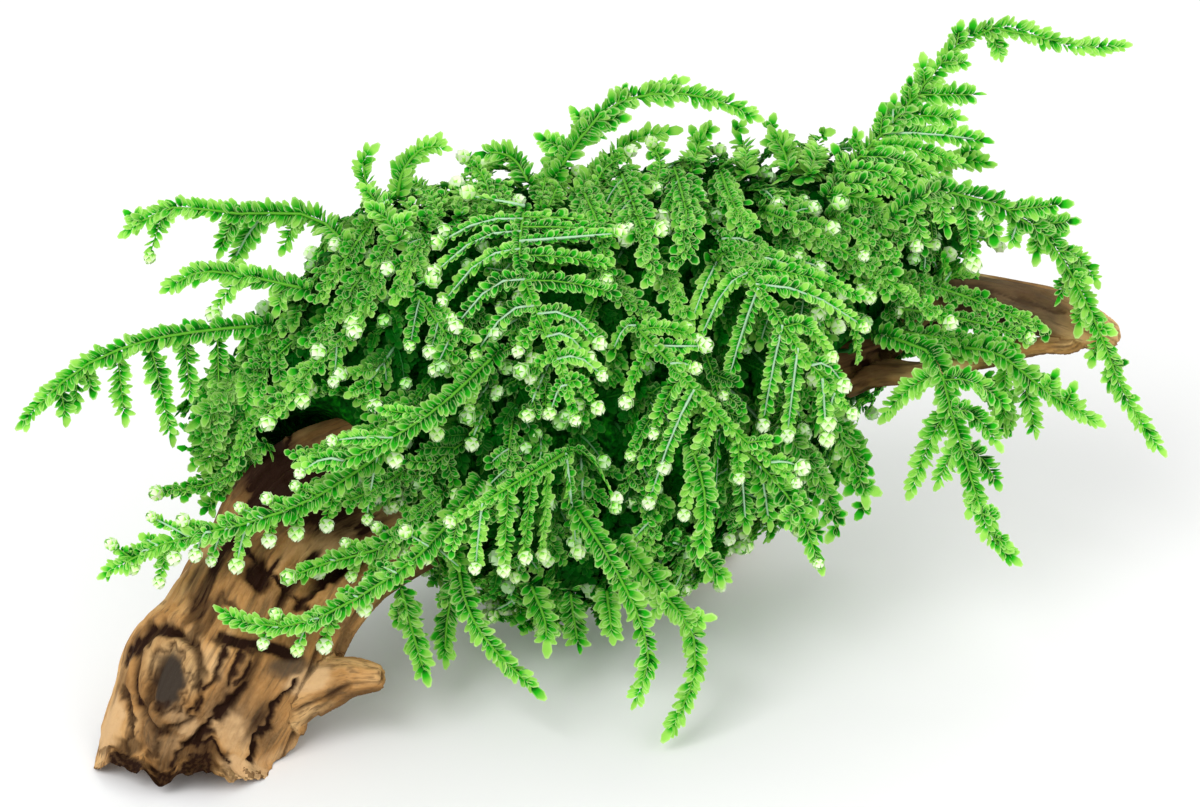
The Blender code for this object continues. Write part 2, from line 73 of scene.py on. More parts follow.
# Limbs of the wood, each a row of stations: (across, up, toward, half width, half depth).
TRUNK = (
    (-62.4, -7.0, -11.5, 13.0, 9.4),
    (-61.5, 3.0, -11.0, 13.1, 9.6),
    (-58.0, 13.0, -9.8, 13.9, 10.2),
    (-53.4, 21.3, -9.6, 13.8, 10.4),
    (-49.0, 30.5, -11.5, 13.4, 10.2),
    (-41.6, 39.4, -15.0, 13.2, 10.0),
    (-30.0, 45.2, -19.5, 12.2, 10.0),
    (-17.0, 50.0, -24.0, 11.0, 9.5),
    (-2.0, 54.5, -27.0, 10.0, 9.0),
    (14.0, 59.5, -29.0, 9.0, 8.5),
    (29.0, 64.5, -31.0, 8.0, 8.0),
    (40.0, 68.0, -32.0, 6.4, 6.6),
)
SIDE_STUB = (
    (-47.5, 14.6, -9.0, 6.0, 6.3),
    (-42.0, 16.0, -7.5, 4.2, 4.8),
    (-38.0, 16.9, -6.0, 2.9, 3.4),
    (-35.4, 17.0, -5.0, 2.3, 2.6),
    (-33.3, 17.0, -4.5, 1.9, 2.2),
)
UPPER_BRANCH = (
    (38.0, 68.0, -32.0, 5.6, 5.6),
    (46.0, 72.0, -32.0, 4.6, 4.8),
    (56.0, 74.0, -32.0, 3.6, 4.2),
    (66.0, 71.8, -32.0, 3.9, 4.0),
    (72.5, 69.4, -33.0, 3.2, 3.4),
    (76.3, 67.6, -34.0, 2.4, 2.6),
)
LOWER_BRANCH = (
    (30.0, 60.5, -31.0, 3.4, 4.0),
    (36.0, 61.0, -29.0, 2.6, 3.0),
    (41.0, 62.6, -28.0, 2.1, 2.5),
    (48.5, 63.0, -28.0, 1.7, 2.1),
    (57.0, 65.0, -28.0, 1.6, 1.9),
    (65.5, 66.3, -29.0, 1.3, 1.6),
    (70.3, 66.5, -31.0, 1.4, 1.7),
    (72.5, 68.5, -33.0, 1.6, 1.8),
)
REAR_ROOT = (
    (-2.0, 53.0, -28.0, 7.4, 7.0),
    (5.0, 47.0, -40.0, 6.4, 6.0),
    (9.5, 42.0, -50.0, 5.8, 5.6),
    (13.0, 38.0, -58.0, 6.4, 6.0),
    (14.5, 34.0, -65.0, 7.6, 7.0),
)

# Swellings and hollows of the trunk: (along, degrees round, half length, half breadth, height).
TRUNK_RELIEF = (
    (24.0, 128.0, 9.0, 7.0, 1.6),
    (23.5, 182.0, 4.5, 7.0, 1.7),
    (42.0, 178.0, 4.5, 6.0, -2.0),
    (54.5, 178.0, 6.0, 8.0, 0.8),
    (54.0, 90.0, 9.0, 3.2, -2.6),
    (36.0, 70.0, 12.0, 2.0, -1.2),
    (62.0, 20.0, 14.0, 4.0, 1.2),
    (62.0, 150.0, 14.0, 4.0, 1.4),
)
# Each limb: its stations, its swellings, the ridges round it and the phase of its unevenness.
LIMBS = {
    "driftwood_trunk": (TRUNK, TRUNK_RELIEF, 7, 0.0),
    "driftwood_side_stub": (SIDE_STUB, (), 0, 0.5),
    "driftwood_upper_branch": (UPPER_BRANCH, (), 0, 1.1),
    "driftwood_lower_branch": (LOWER_BRANCH, (), 0, 3.0),
    "driftwood_rear_root": (REAR_ROOT, (), 0, 2.3),
}
# The ridges' height and their turn for each millimetre along, and the unevenness's in the same way,
# its height being a part of the radius.
RIDGE_HEIGHT = 0.45
RIDGE_TWIST = 0.035
UNEVENNESS = 0.03
UNEVEN_TWIST = 0.16
# The grid of a limb: millimetres between its rings, and how many sides it has.
RING_GAP = 0.8
TRUNK_SIDES = 96
LIMB_SIDES = 56
# The rings that round off a limb's end, in degrees, and how far the end sticks out, in radii.
END_TURNS = (25, 48, 68, 84)
END_LENGTH = 0.6
# Flutes along the limbs: how many go round, their height, their turn for each millimetre along and
# their phase. The heights are in full on a limb of this radius, and for this height of the grain.
FLUTES = ((9, 0.20, 0.05, 0.3), (15, 0.16, -0.04, 1.7), (26, 0.10, 0.03, 4.0))
THICK_LIMB = 9.0
GRAIN_HEIGHT = 0.2

# The broken end of the trunk: how high its lower edge is above the ground at places across it.
BROKEN_EDGE = (
    (-78.0, 0.0), (-75.6, 0.2), (-73.4, 3.4), (-70.6, 3.0), (-68.3, 3.9), (-65.9, 1.6),
    (-63.0, 3.4), (-60.5, 3.9), (-58.0, 4.8), (-56.8, 3.0), (-54.5, 1.6), (-52.8, 1.2),
    (-50.2, 0.0), (-46.0, 0.3),
)
SPLINTER_HEIGHT = 0.7
BREAK_HEIGHT = 11.0
# Where, across it, the broken end goes over from dark to pale.
BREAK_MIDDLE = -56.5

# How far the edges of the marks below wander, in millimetres.
MARK_WANDER = 0.28
# Cracks in the front of the wood: half width, depth, darkness, which is painted shade in the crack,
# and points (across, up).
CRACKS = (
    (0.42, 0.9, 1.0, ((-45.5, 15.9), (-48.6, 13.1), (-49.5, 9.8), (-51.5, 7.2), (-52.2, 3.6))),
    (0.50, 0.6, 1.0, ((-53.2, 15.5), (-55.3, 13.4), (-58.0, 9.6), (-60.0, 6.4), (-64.2, 1.6))),
    (1.00, 0.8, 1.0, ((-55.2, 13.4), (-57.4, 10.6))),
    (1.15, 0.6, 1.0, ((-59.2, 6.6), (-61.4, 4.4))),
    (0.40, 0.4, 1.0, ((-60.5, 4.4), (-58.2, 4.6), (-57.4, 3.1), (-55.8, 2.7))),
    (0.50, 0.5, 0.9, ((-56.2, 21.3), (-57.1, 18.7), (-58.3, 16.2), (-59.5, 15.2))),
    (0.45, 0.4, 0.9, ((-53.7, 20.5), (-54.8, 18.3), (-55.8, 15.8))),
    (0.45, 0.4, 0.9, ((-52.2, 19.0), (-53.0, 17.8), (-54.3, 16.0))),
    (1.00, 0.6, 0.95, ((-71.5, 19.8), (-69.6, 21.6), (-67.2, 23.9), (-64.0, 23.8))),
    (0.75, 0.5, 0.8, ((-64.0, 23.8), (-61.7, 22.7), (-60.2, 20.5), (-59.8, 18.2), (-60.4, 15.6))),
    (0.90, 0.6, 1.0, ((-57.0, 22.7), (-53.0, 21.9), (-49.0, 21.2), (-45.5, 20.2))),
    (0.40, 0.5, 0.8, ((-71.5, 15.5), (-70.0, 9.0), (-70.6, 3.5))),
    (0.35, 0.4, 0.6, ((-66.5, 9.2), (-66.0, 5.8), (-67.6, 2.2))),
    (0.45, 0.6, 0.8, ((-55.5, 38.0), (-51.0, 34.0), (-46.5, 29.5), (-43.0, 26.0))),
    (0.50, 0.7, 0.9, ((-45.5, 27.5), (-39.0, 33.0), (-34.0, 36.2), (-28.5, 38.8))),
    (0.35, 0.4, 0.7, ((-57.0, 30.0), (-54.5, 27.0), (-52.5, 25.0))),
    (0.45, 0.5, 0.8, ((-47.0, 47.0), (-42.0, 45.0), (-36.5, 46.5), (-31.0, 47.6))),
    (0.35, 0.5, 0.8, ((-52.5, 45.0), (-49.0, 48.5), (-46.0, 53.0))),
    (0.40, 0.6, 0.9, ((38.0, 63.5), (43.5, 66.5), (50.0, 69.8), (57.5, 71.0), (64.5, 69.0))),
    (0.30, 0.4, 0.6, ((52.0, 76.0), (58.0, 75.4), (64.0, 73.0), (70.0, 71.6))),
)
# Patches on the front of the wood: middle (across, up), half sizes, turn in degrees, how deep they
# are carved, how dark they are, mostly as painted shade in carved hollows and under the moss,
# and how pale and how grey they are.
PATCHES = (
    (-64.8, 16.5, 2.8, 4.9, -4, 0.6, 0.30, 0.0, 1.0),
    (-51.4, 32.3, 1.9, 2.6, 20, 1.3, 0.95, 0.0, 0.0),
    (-38.4, 33.6, 5.6, 1.3, 34, 1.5, 1.0, 0.0, 0.0),
    (-66.5, 6.6, 3.0, 5.4, 28, 0.1, 0.0, 0.0, 0.5),
    (-60.0, 2.6, 4.0, 1.8, 8, 0.2, 0.7, 0.0, 0.0),
    (-70.6, 3.8, 2.2, 1.9, 12, 0.1, 0.6, 0.0, 0.4),
    (-65.7, 12.6, 1.6, 0.9, 25, 0.2, 0.8, 0.0, 0.0),
    (-72.0, 16.5, 1.2, 2.6, -5, 0.0, 0.45, 0.0, 0.0),
    (-73.4, 8.5, 1.9, 6.0, -10, 0.0, 0.0, 0.9, 0.0),
    (-43.6, 16.6, 4.0, 2.2, 22, -0.1, 0.0, 0.9, 0.0),
    (-53.0, 1.9, 4.0, 2.0, 0, 0.2, 0.0, 1.0, 0.0),
    (-46.6, 18.6, 3.4, 1.7, 10, 0.0, 0.1, 0.0, 0.8),
    (-53.5, 13.5, 2.6, 7.5, 35, 0.0, 0.0, 0.0, 0.5),
    (-49.8, 52.0, 2.2, 3.6, 38, 0.2, 0.35, 0.0, 1.0),
    (-62.0, 8.8, 1.9, 4.6, 32, 0.0, 0.0, 0.7, 0.0),
    (-55.4, 8.2, 3.2, 5.0, 30, 0.0, 0.0, 0.7, 0.0),
    (-64.0, 5.0, 2.2, 2.2, 20, 0.0, 0.0, 0.5, 0.0),
    (-58.4, 19.5, 1.2, 3.2, 28, 0.0, 0.0, 0.5, 0.0),
    (-45.0, 45.0, 10.0, 6.0, -30, 0.0, 0.6, 0.0, 0.0),
    (58.8, 72.2, 1.0, 0.7, 0, 0.8, 1.0, 0.0, 0.0),
    (54.3, 74.6, 0.7, 0.6, 0, 0.6, 1.0, 0.0, 0.0),
    (63.8, 69.2, 1.3, 0.5, -40, 0.6, 1.0, 0.0, 0.0),
    (60.0, 73.5, 13.0, 5.0, -14, 0.0, 0.35, 0.0, 0.8),
    (41.0, 65.0, 6.0, 5.0, 0, 0.2, 0.75, 0.0, 0.0),
    (75.4, 68.8, 1.2, 1.6, 0, 0.0, 0.0, 0.5, 0.0),
)
KNOT_MIDDLE = (-64.8, 16.5)
KNOT_HALF = (2.9, 4.9)
# Rings round the knot: how many knot radii out, how broad, how high and how dark; the darkest are
# sunken, their dark partly the knot's own and partly painted shade in the grooves.
KNOT_RINGS = (
    (1.05, 0.10, -0.35, 0.75),
    (1.32, 0.20, 0.40, 0.3),
    (1.68, 0.16, -0.45, 0.85),
    (2.02, 0.16, 0.25, 0.0),
)

# The moss cushion: (across, up, toward, half height, half depth) of its upright sections.
CUSHION = np.array((
    (-55.0, 57.0, -17.0, 7.0, 6.0),
    (-50.0, 59.0, -17.0, 12.5, 10.0),
    (-43.5, 61.8, -17.5, 17.0, 13.5),
    (-37.5, 64.6, -18.5, 21.0, 16.0),
    (-30.0, 64.6, -20.0, 24.5, 18.5),
    (-22.5, 61.6, -22.0, 28.5, 20.5),
    (-15.0, 60.5, -24.0, 31.0, 21.5),
    (-6.0, 60.5, -26.0, 32.5, 22.0),
    (3.0, 61.5, -27.0, 32.5, 22.0),
    (12.0, 63.5, -28.0, 31.0, 22.0),
    (21.0, 67.0, -29.0, 28.5, 21.0),
    (30.0, 70.0, -30.0, 25.5, 19.0),
    (37.0, 76.0, -31.0, 19.5, 15.0),
    (43.0, 80.5, -31.0, 14.0, 11.0),
    (48.5, 83.0, -31.0, 8.0, 7.0),
    (51.5, 83.5, -31.0, 4.0, 4.0),
))
# Where the shoots of the cushion spread from, in the picture.
CROWN = np.array((2.0, 96.0))
# Where the wood shows through the front of the moss: middle (across, up), half sizes and turn, and
# how far the dark mat, painted as the shade deep in the moss, is pushed back there.
CLEARINGS = ((-46.0, 50.0, 10.5, 6.5, 38.0), (40.5, 64.5, 6.0, 3.4, 8.0))
CLEARING_DEPTH = 12
# How far beyond its ends the cushion still moves shoots out of itself, and the step by which its
# slope is measured, in millimetres.
CUSHION_MARGIN = 4
SLOPE_STEP = 0.5
# The grid of the dark mat in the cushion, painted as the shade deep in the moss.
MAT_RINGS = 90
MAT_SIDES = 72
# How many places are tried as roots, and the sum of half height and half depth at which all are kept.
ROOT_TRIES = 9000
FULL_SECTION = 56

# Each frond: the longest branchlets on the left and right of the way its stem grows, and the stem's
# points from root to tip. It lies in front of the moss, or behind it if named back.
FRONDS = {
    "frond_left_top": (6.5, 1.5, (
        (-38, 81.8, -16), (-43.5, 86.2, -15), (-55, 86.5, -13), (-64.5, 87.4, -11), (-72.5, 82.8, -10),
    )),
    "frond_left_short": (5, 1.5, (
        (-43.5, 75, -9), (-52.5, 77, -7), (-60, 77.7, -5), (-66.3, 74.5, -4),
    )),
    "frond_left_long": (13, 2, (
        (-49.5, 69.8, -8), (-58.5, 69, -5), (-69, 67.2, -3), (-78.8, 62.7, -2), (-87.8, 54, -1),
    )),
    "frond_left_hanging": (2.5, 6, (
        (-52.5, 64.5, -18), (-57, 58.5, -18), (-58.2, 49.5, -18), (-57.8, 42.8, -18),
    )),
    "frond_left_front": (4, 4, (
        (-37.5, 69, -2), (-45, 61.5, -1), (-49.5, 55.5, -1),
    )),
    "frond_trunk_long": (5, 4, (
        (-30, 52.5, 2), (-42, 44.3, 3), (-52.5, 40.2, 4), (-66, 36.8, 3), (-75.8, 31.5, 2),
    )),
    "frond_trunk_short": (2.5, 2, (
        (-24.5, 41, -3), (-33, 36.3, -4), (-40.5, 34.2, -3), (-46.5, 32, 0),
    )),
    "frond_trunk_low": (5, 2, (
        (-18, 46.5, 1), (-25.5, 36.8, 2), (-34.5, 30, 3), (-45, 24.8, 4.5), (-53.3, 25.2, 5), (-58, 28, 5),
    )),
    "frond_trunk_upper": (5, 3, (
        (-15, 66, 4), (-25.5, 56.5, 7), (-37.5, 49.8, 7), (-46.5, 48.5, 5),
    )),
    "frond_top_left": (4.5, 2, (
        (-30, 82.5, -20), (-34.2, 89.3, -20), (-35.7, 94, -20), (-33, 96.5, -20),
    )),
    "frond_top_left_arch": (2, 3, (
        (-30.5, 88.5, -12), (-29.5, 93, -12), (-26.3, 96.4, -12), (-21.8, 96, -12),
    )),
    "frond_top_curl": (2, 3, (
        (-10.5, 90.8, -19), (-12.8, 94.5, -19), (-15.8, 95.7, -19), (-18.8, 94.8, -19),
    )),
    "frond_top_middle": (3, 2.5, (
        (-6.8, 91.8, -16), (-3, 97.8, -16), (2.3, 103, -16),
        (9, 104.5, -16), (16.5, 103.8, -16), (24.8, 100.3, -16),
    )),
    "frond_top_second": (2, 3, (
        (-3.5, 89.5, -25), (0.8, 94.2, -25), (6, 97.8, -25), (12, 99, -25),
    )),
    "frond_top_tuft_left": (2, 2, (
        (13.5, 92.3, -22), (14.5, 96, -22), (15.8, 99.3, -22),
    )),
    "frond_top_tuft_middle": (2, 2, (
        (21.8, 92.5, -25), (21.8, 96, -25), (20.5, 99, -25),
    )),
    "frond_top_tuft_right": (2, 2, (
        (28.5, 92.5, -22), (27.5, 96, -22), (25.5, 99.4, -22),
    )),
    "frond_top_tuft_far": (2, 2, (
        (31.5, 92.3, -36), (32.5, 96, -36), (33.5, 99.5, -36),
    )),
    "frond_right_tall": (2.5, 11, (
        (34, 89, -27), (38.3, 94.5, -28), (42.7, 98.8, -29), (47.2, 104.1, -30), (51.3, 109, -31),
        (54.2, 112.6, -32), (61, 114.6, -33), (70.5, 111.6, -33), (80.5, 111.8, -33),
    )),
    "frond_back_upper_right": (3, 4, (
        (37.5, 90, -46), (46.5, 93.8, -44), (54, 94.5, -42), (60, 93.8, -42),
    )),
    "frond_right_arch": (5, 9, (
        (42, 84.5, -15), (49.5, 89.6, -16), (60, 87.8, -19), (67.5, 82.5, -21),
        (72, 75, -23), (75.8, 66.8, -24), (79, 58.5, -24), (85, 49.8, -24),
    )),
    "frond_right_front": (4, 4, (
        (28.5, 86, -7), (37.5, 80.3, -12), (45, 75, -16), (52, 70.5, -19),
    )),
    "frond_right_hanging": (7, 11, (
        (42, 68.5, -15), (49.9, 65.2, -16), (52.6, 57, -16), (56.2, 45, -16), (58.8, 37.8, -16),
        (63.3, 33.8, -16),
    )),
    "frond_right_low": (3, 8, (
        (53.5, 66.5, -25), (60, 65.3, -22), (66.8, 60, -22), (75.8, 54.5, -22),
    )),
    "frond_right_short": (2.5, 2.5, (
        (57.5, 62, -26), (60.5, 58, -26), (61, 53.5, -26),
    )),
    "frond_bottom_right": (4, 4, (
        (18, 54, -9), (24.8, 48, -9), (30, 41.3, -8), (32.6, 34.5, -8),
    )),
    "frond_bottom_right_inner": (3, 3, (
        (27, 55, -13), (33, 46.5, -14), (35.7, 39, -14),
    )),
    "frond_bottom_right_outer": (3.5, 3.5, (
        (32, 59, -19), (36.8, 53, -20), (39, 47, -20), (39.8, 42.8, -20),
    )),
    "frond_bottom_comb": (4, 4, (
        (13.5, 52.5, 1), (15.8, 43.5, 0), (15, 35, -1),
    )),
    "frond_bottom_side": (2, 2, (
        (13.5, 37.5, -13), (17.3, 33, -13), (20, 31.2, -13),
    )),
    "frond_bottom_long": (3.5, 3.5, (
        (-4.5, 43.5, -1), (1.5, 34.5, -2), (6, 25.5, -2), (7.2, 18.8, -2), (4.5, 11.7, -2),
    )),
    "frond_bottom_lowest": (4, 3.5, (
        (3, 37.5, -7), (9, 30, -8), (14, 23.3, -8), (13.5, 15, -8), (9.5, 7.5, -8),
    )),
    "frond_bottom_left": (3, 3, (
        (-21.5, 36, -6), (-20.3, 28.5, -6), (-16.5, 21.8, -6), (-8.6, 14, -6),
    )),
    "frond_bottom_left_short": (3, 3, (
        (-30, 31, -9), (-28.2, 24, -10), (-25.8, 16, -10),
    )),
    "frond_bottom_left_stub": (2, 2, (
        (-21.5, 33, -18), (-23, 25, -17), (-23.3, 18.5, -16),
    )),
    "frond_bottom_tuft_left": (2.5, 2.5, (
        (-10.5, 31, -14), (-8.3, 25.5, -14), (-8, 20.7, -14),
    )),
    "frond_bottom_tuft_middle": (2, 2, (
        (-4.5, 30, -20), (-3.8, 25, -20), (-3, 20.3, -20),
    )),
    "frond_bottom_tuft_right": (2, 2, (
        (1, 30, -14), (1.5, 26, -14), (2, 22, -14),
    )),
    "frond_front_top": (13, 13, (
        (-11.3, 87.8, -2), (-12, 79.5, 1), (-9, 70.5, 1), (-5.7, 63, 1), (-3.8, 56, 1),
    )),
    "frond_front_left": (6, 6, (
        (-28, 75, -2), (-23, 68, -1), (-20.7, 60, 0),
    )),
    "frond_front_right": (9, 9, (
        (17.3, 84, -3), (24, 75, -2), (30, 66, -3), (37.5, 57, -8),
    )),
    "frond_front_middle": (8, 8, (
        (4.5, 70.5, 0), (12, 62.5, 0), (19.5, 54.5, -2), (29, 46.5, -6),
    )),
    "frond_front_comb": (6, 3, (
        (-4.5, 51, 5), (-12, 46.5, 6), (-22, 40.5, 6.5),
    )),
    "frond_back_left": (6, 6, (
        (-24, 80, -42), (-28, 72, -44), (-31, 62, -46), (-32, 52, -46),
    )),
    "frond_back_middle": (8, 8, (
        (-6, 86, -44), (-7, 76, -50), (-8, 64, -52), (-9, 52, -54),
    )),
    "frond_back_right": (7, 7, (
        (20, 84, -48), (24, 74, -52), (27, 64, -54), (28, 54, -54),
    )),
    "frond_back_far_left": (5, 5, (
        (-43, 68, -32), (-48, 60, -34), (-51, 50, -34),
    )),
    "frond_back_low": (5, 5, (
        (-14, 56, -50), (-19, 47, -52), (-22, 40, -50),
    )),
    "frond_back_low_right": (5, 5, (
        (31, 60, -50), (35, 52, -52), (37, 46, -52),
    )),
    "frond_back_far_right": (4, 4, (
        (40, 80, -44), (48, 74, -47), (53, 66, -47),
    )),
}
# In millimetres: how far a frond's stem is above the cushion, how much farther it is where its
# branchlets are drawn, how far grown branchlets are above it, and how deep a frond is rooted.
STEM_CLEARANCE = 1.7
DRAWN_RISE = 0.8
GROWN_CLEARANCE = 0.9
ROOT_DEPTH = 2.5
# How many points the path of a frond's stem, of its drawn and grown branchlets and of a shoot of the
# cushion has, and the point of the last whose place tells the shoot's region.
STEM_POINTS = 21
DRAWN_POINTS = 9
GROWN_POINTS = 6
SHOOT_POINTS = 12
ROOTED_POINT = 3
# The branchlets of the fronds that show one by one, each as its place along the stem from 0 to 1 and
# its tip's way across and up from there. A frond with an empty row is a plain ribbon.
SIDE_SHOOTS = {
    "frond_front_top": (
        (0.13, 20.3, -1.7), (0.20, 15.5, -0.5), (0.295, 14.6, 1.2), (0.37, 14.5, -1.7), (0.47, 14.7, -2.4),
        (0.60, 9, -4), (0.69, 6, -3), (0.78, 6.4, -2.2), (0.87, 4.6, -3.4), (0.06, -8, 1.5),
        (0.15, -12.5, -3.5), (0.235, -12.7, -6), (0.34, -11.2, -7.7), (0.465, -10, -6.7),
        (0.567, -8.5, -7), (0.667, -3.7, -2.7), (0.78, -3.8, -2.4), (0.88, -2.3, -3.8),
    ),
    "frond_front_right": (
        (0.30, -7, -9.7), (0.38, -5, -15.7), (0.55, -2.9, -14.5), (0.66, -1.6, -12.6), (0.82, 0.5, -8.5),
        (0.36, 16, -6.3), (0.56, 7, -4), (0.20, 15.9, -5.5), (0.27, 18.7, -5), (0.10, 9.5, -5.5),
        (0.06, 4, -7), (0.15, -5.7, -11.7), (0.22, -3, -9), (0.75, 4.5, -2.5), (0.90, -1, -4),
    ),
    "frond_front_middle": (
        (0.38, -4.5, -7.8), (0.44, -6.7, -16.5), (0.56, -4.5, -15), (0.10, 9.3, -1.5), (0.20, 7.2, 0),
        (0.30, 3.3, -0.5), (0.20, -4, -8), (0.08, -4, -6), (0.70, 0, -6), (0.75, 5, 0.5), (0.88, 4, -0.5),
    ),
    "frond_front_comb": (
        (0.95, -1.6, -7), (0.80, -1, -9.3), (0.62, -0.7, -12), (0.44, -1.2, -12.3), (0.27, -1.2, -13.5),
        (0.10, 1.6, -14.4), (0.02, 6.3, -7),
    ),
    "frond_bottom_right": (
        (0.02, -1.2, -18), (0.20, 1, -13), (0.36, 1.5, -10), (0.55, 1.5, -6), (0.70, -2, -4),
        (0.45, 4, -2), (0.65, 3, -2), (0.82, 2, -2),
    ),
    "frond_bottom_comb": (),
    "frond_trunk_long": (
        (0.71, -5.1, 2.7), (0.77, -1.2, -5.5), (0.60, -2.3, -4.5), (0.54, -1.7, -6), (0.46, -1, -3.5),
        (0.38, -1, -4), (0.26, -2, -6), (0.13, -1.5, -9), (0.03, -2, -10), (0.88, -2.6, 1.8),
        (0.50, -3, 1.4), (0.33, -3.2, 1.2), (0.65, -2, -3), (0.72, -1.5, -2.6), (0.83, -2, -2.2),
        (0.66, -3, 1.6), (0.57, -3, 1.5), (0.80, -2.6, 1.5), (0.42, -3, 1.3),
    ),
    "frond_trunk_low": (
        (0.68, -3, -4.3), (0.62, -1.8, -5), (0.5, -1.2, -2.6), (0.35, -1.5, -3), (0.25, -2, -3),
        (0.15, -2, -3.5), (0.42, -3, 1.5), (0.30, -3, 1.8), (0.55, -3, 1.3), (0.80, -2, -2),
        (0.75, -2.4, 1.4),
    ),
    "frond_trunk_short": (
        (0.35, -1, -3.4), (0.55, -1.2, -2.8), (0.2, -1.5, -3), (0.3, -3, 1.4), (0.5, -3, 1.2),
        (0.7, -2.2, -1.2),
    ),
    "frond_trunk_upper": (
        (0.45, -7.8, 1), (0.60, -8.5, -0.4), (0.80, -6, -1.6), (0.30, -3, -6), (0.50, -3, -5), (0.15, -2, -6),
    ),
    "frond_left_long": (
        (0.13, 0, -14), (0.23, 0.5, -16), (0.34, 1, -11), (0.46, 3.6, -16),
        (0.57, 1.2, -11.2), (0.69, 1.4, -5), (0.72, 0, -5.8), (0.79, 1, -6.3),
    ),
    "frond_left_top": (
        (0.32, -3.8, -7), (0.44, -6.4, -9.4), (0.53, -4.3, -7.6), (0.78, -3.4, -7), (0.90, -2, 1.3),
    ),
    "frond_left_short": ((0.18, -2, -5.2), (0.34, -7, -4.8)),
    "frond_right_tall": (
        (0.05, 9, -3), (0.12, 13, -3.5), (0.20, 14.5, -4.5), (0.26, 14, -4.5), (0.30, 15.3, -3.7),
        (0.34, 16.4, -1.4), (0.39, 10.6, -0.7), (0.45, 10.7, 0), (0.54, 4.8, -0.6), (0.66, 3.2, -6.2),
        (0.20, -2, 3.5), (0.27, -1.5, 4), (0.33, 0.4, 4.6), (0.37, 0.3, 4.3), (0.43, 0, 3.8),
        (0.48, -0.4, 4), (0.59, 0.7, 3.3),
    ),
    "frond_back_upper_right": ((0.45, 2.2, -4), (0.62, 1.8, -3.6), (0.75, 3, 2.4)),
    "frond_right_arch": (
        (0.04, 4, 4), (0.10, 4.5, 3), (0.16, 4.5, 2.4), (0.07, 1.2, -7), (0.13, 2.5, -8.5),
        (0.19, 2, -7.5), (0.25, 1.5, -10), (0.31, 0.8, -6.5), (0.39, -2, -6), (0.44, -0.8, -4.8),
        (0.57, -3, -4.5), (0.62, -1.2, -5.3), (0.70, -1.5, -5.2), (0.77, -0.6, -3.8),
        (0.36, 9.2, 0.9), (0.42, 7, 0.6), (0.46, 2.1, 0.6), (0.50, 6.5, -6.5),
        (0.57, 1.6, -0.3), (0.69, 1.4, -0.4), (0.77, 1.3, 0.2),
    ),
    "frond_right_hanging": (
        (0.33, -9.8, -7.5), (0.43, -6.4, -14.2), (0.57, -4.4, -7.2), (0.74, -1.4, -3), (0.34, 10.6, -5.4),
        (0.44, 8, -7), (0.57, 6, -7), (0.79, 2, -2.4), (0.88, 2, -1.2),
    ),
    "frond_right_low": ((0.35, -0.3, -6.6), (0.45, 2.4, -10.9), (0.62, 1.7, 2.7), (0.75, 1.2, 2.4)),
    "frond_top_middle": (
        (0.16, -5.3, 2.7), (0.28, -2.4, 2.6), (0.42, 1.4, 2.6), (0.53, 6.2, 2.2), (0.31, 5.2, 0.5),
        (0.24, 3.2, -0.8),
    ),
    "frond_top_left": ((0.35, -3.6, 2.4), (0.6, -2.2, 2.6), (0.5, 2.2, 2.2), (0.2, 2.8, 2)),
    "frond_bottom_left_short": ((0.28, -2, -4),),
    "frond_bottom_left_stub": ((0.3, -2.2, -3),),
    "frond_bottom_lowest": ((0.38, -3.2, -3), (0.47, 4, 0.2)),
    "frond_top_second": (), "frond_top_left_arch": (), "frond_top_curl": (),
    "frond_bottom_left": (), "frond_bottom_long": (), "frond_bottom_side": (),
    "frond_bottom_tuft_left": (), "frond_bottom_tuft_middle": (), "frond_bottom_tuft_right": (),
}

CREEPING_SEED = 77
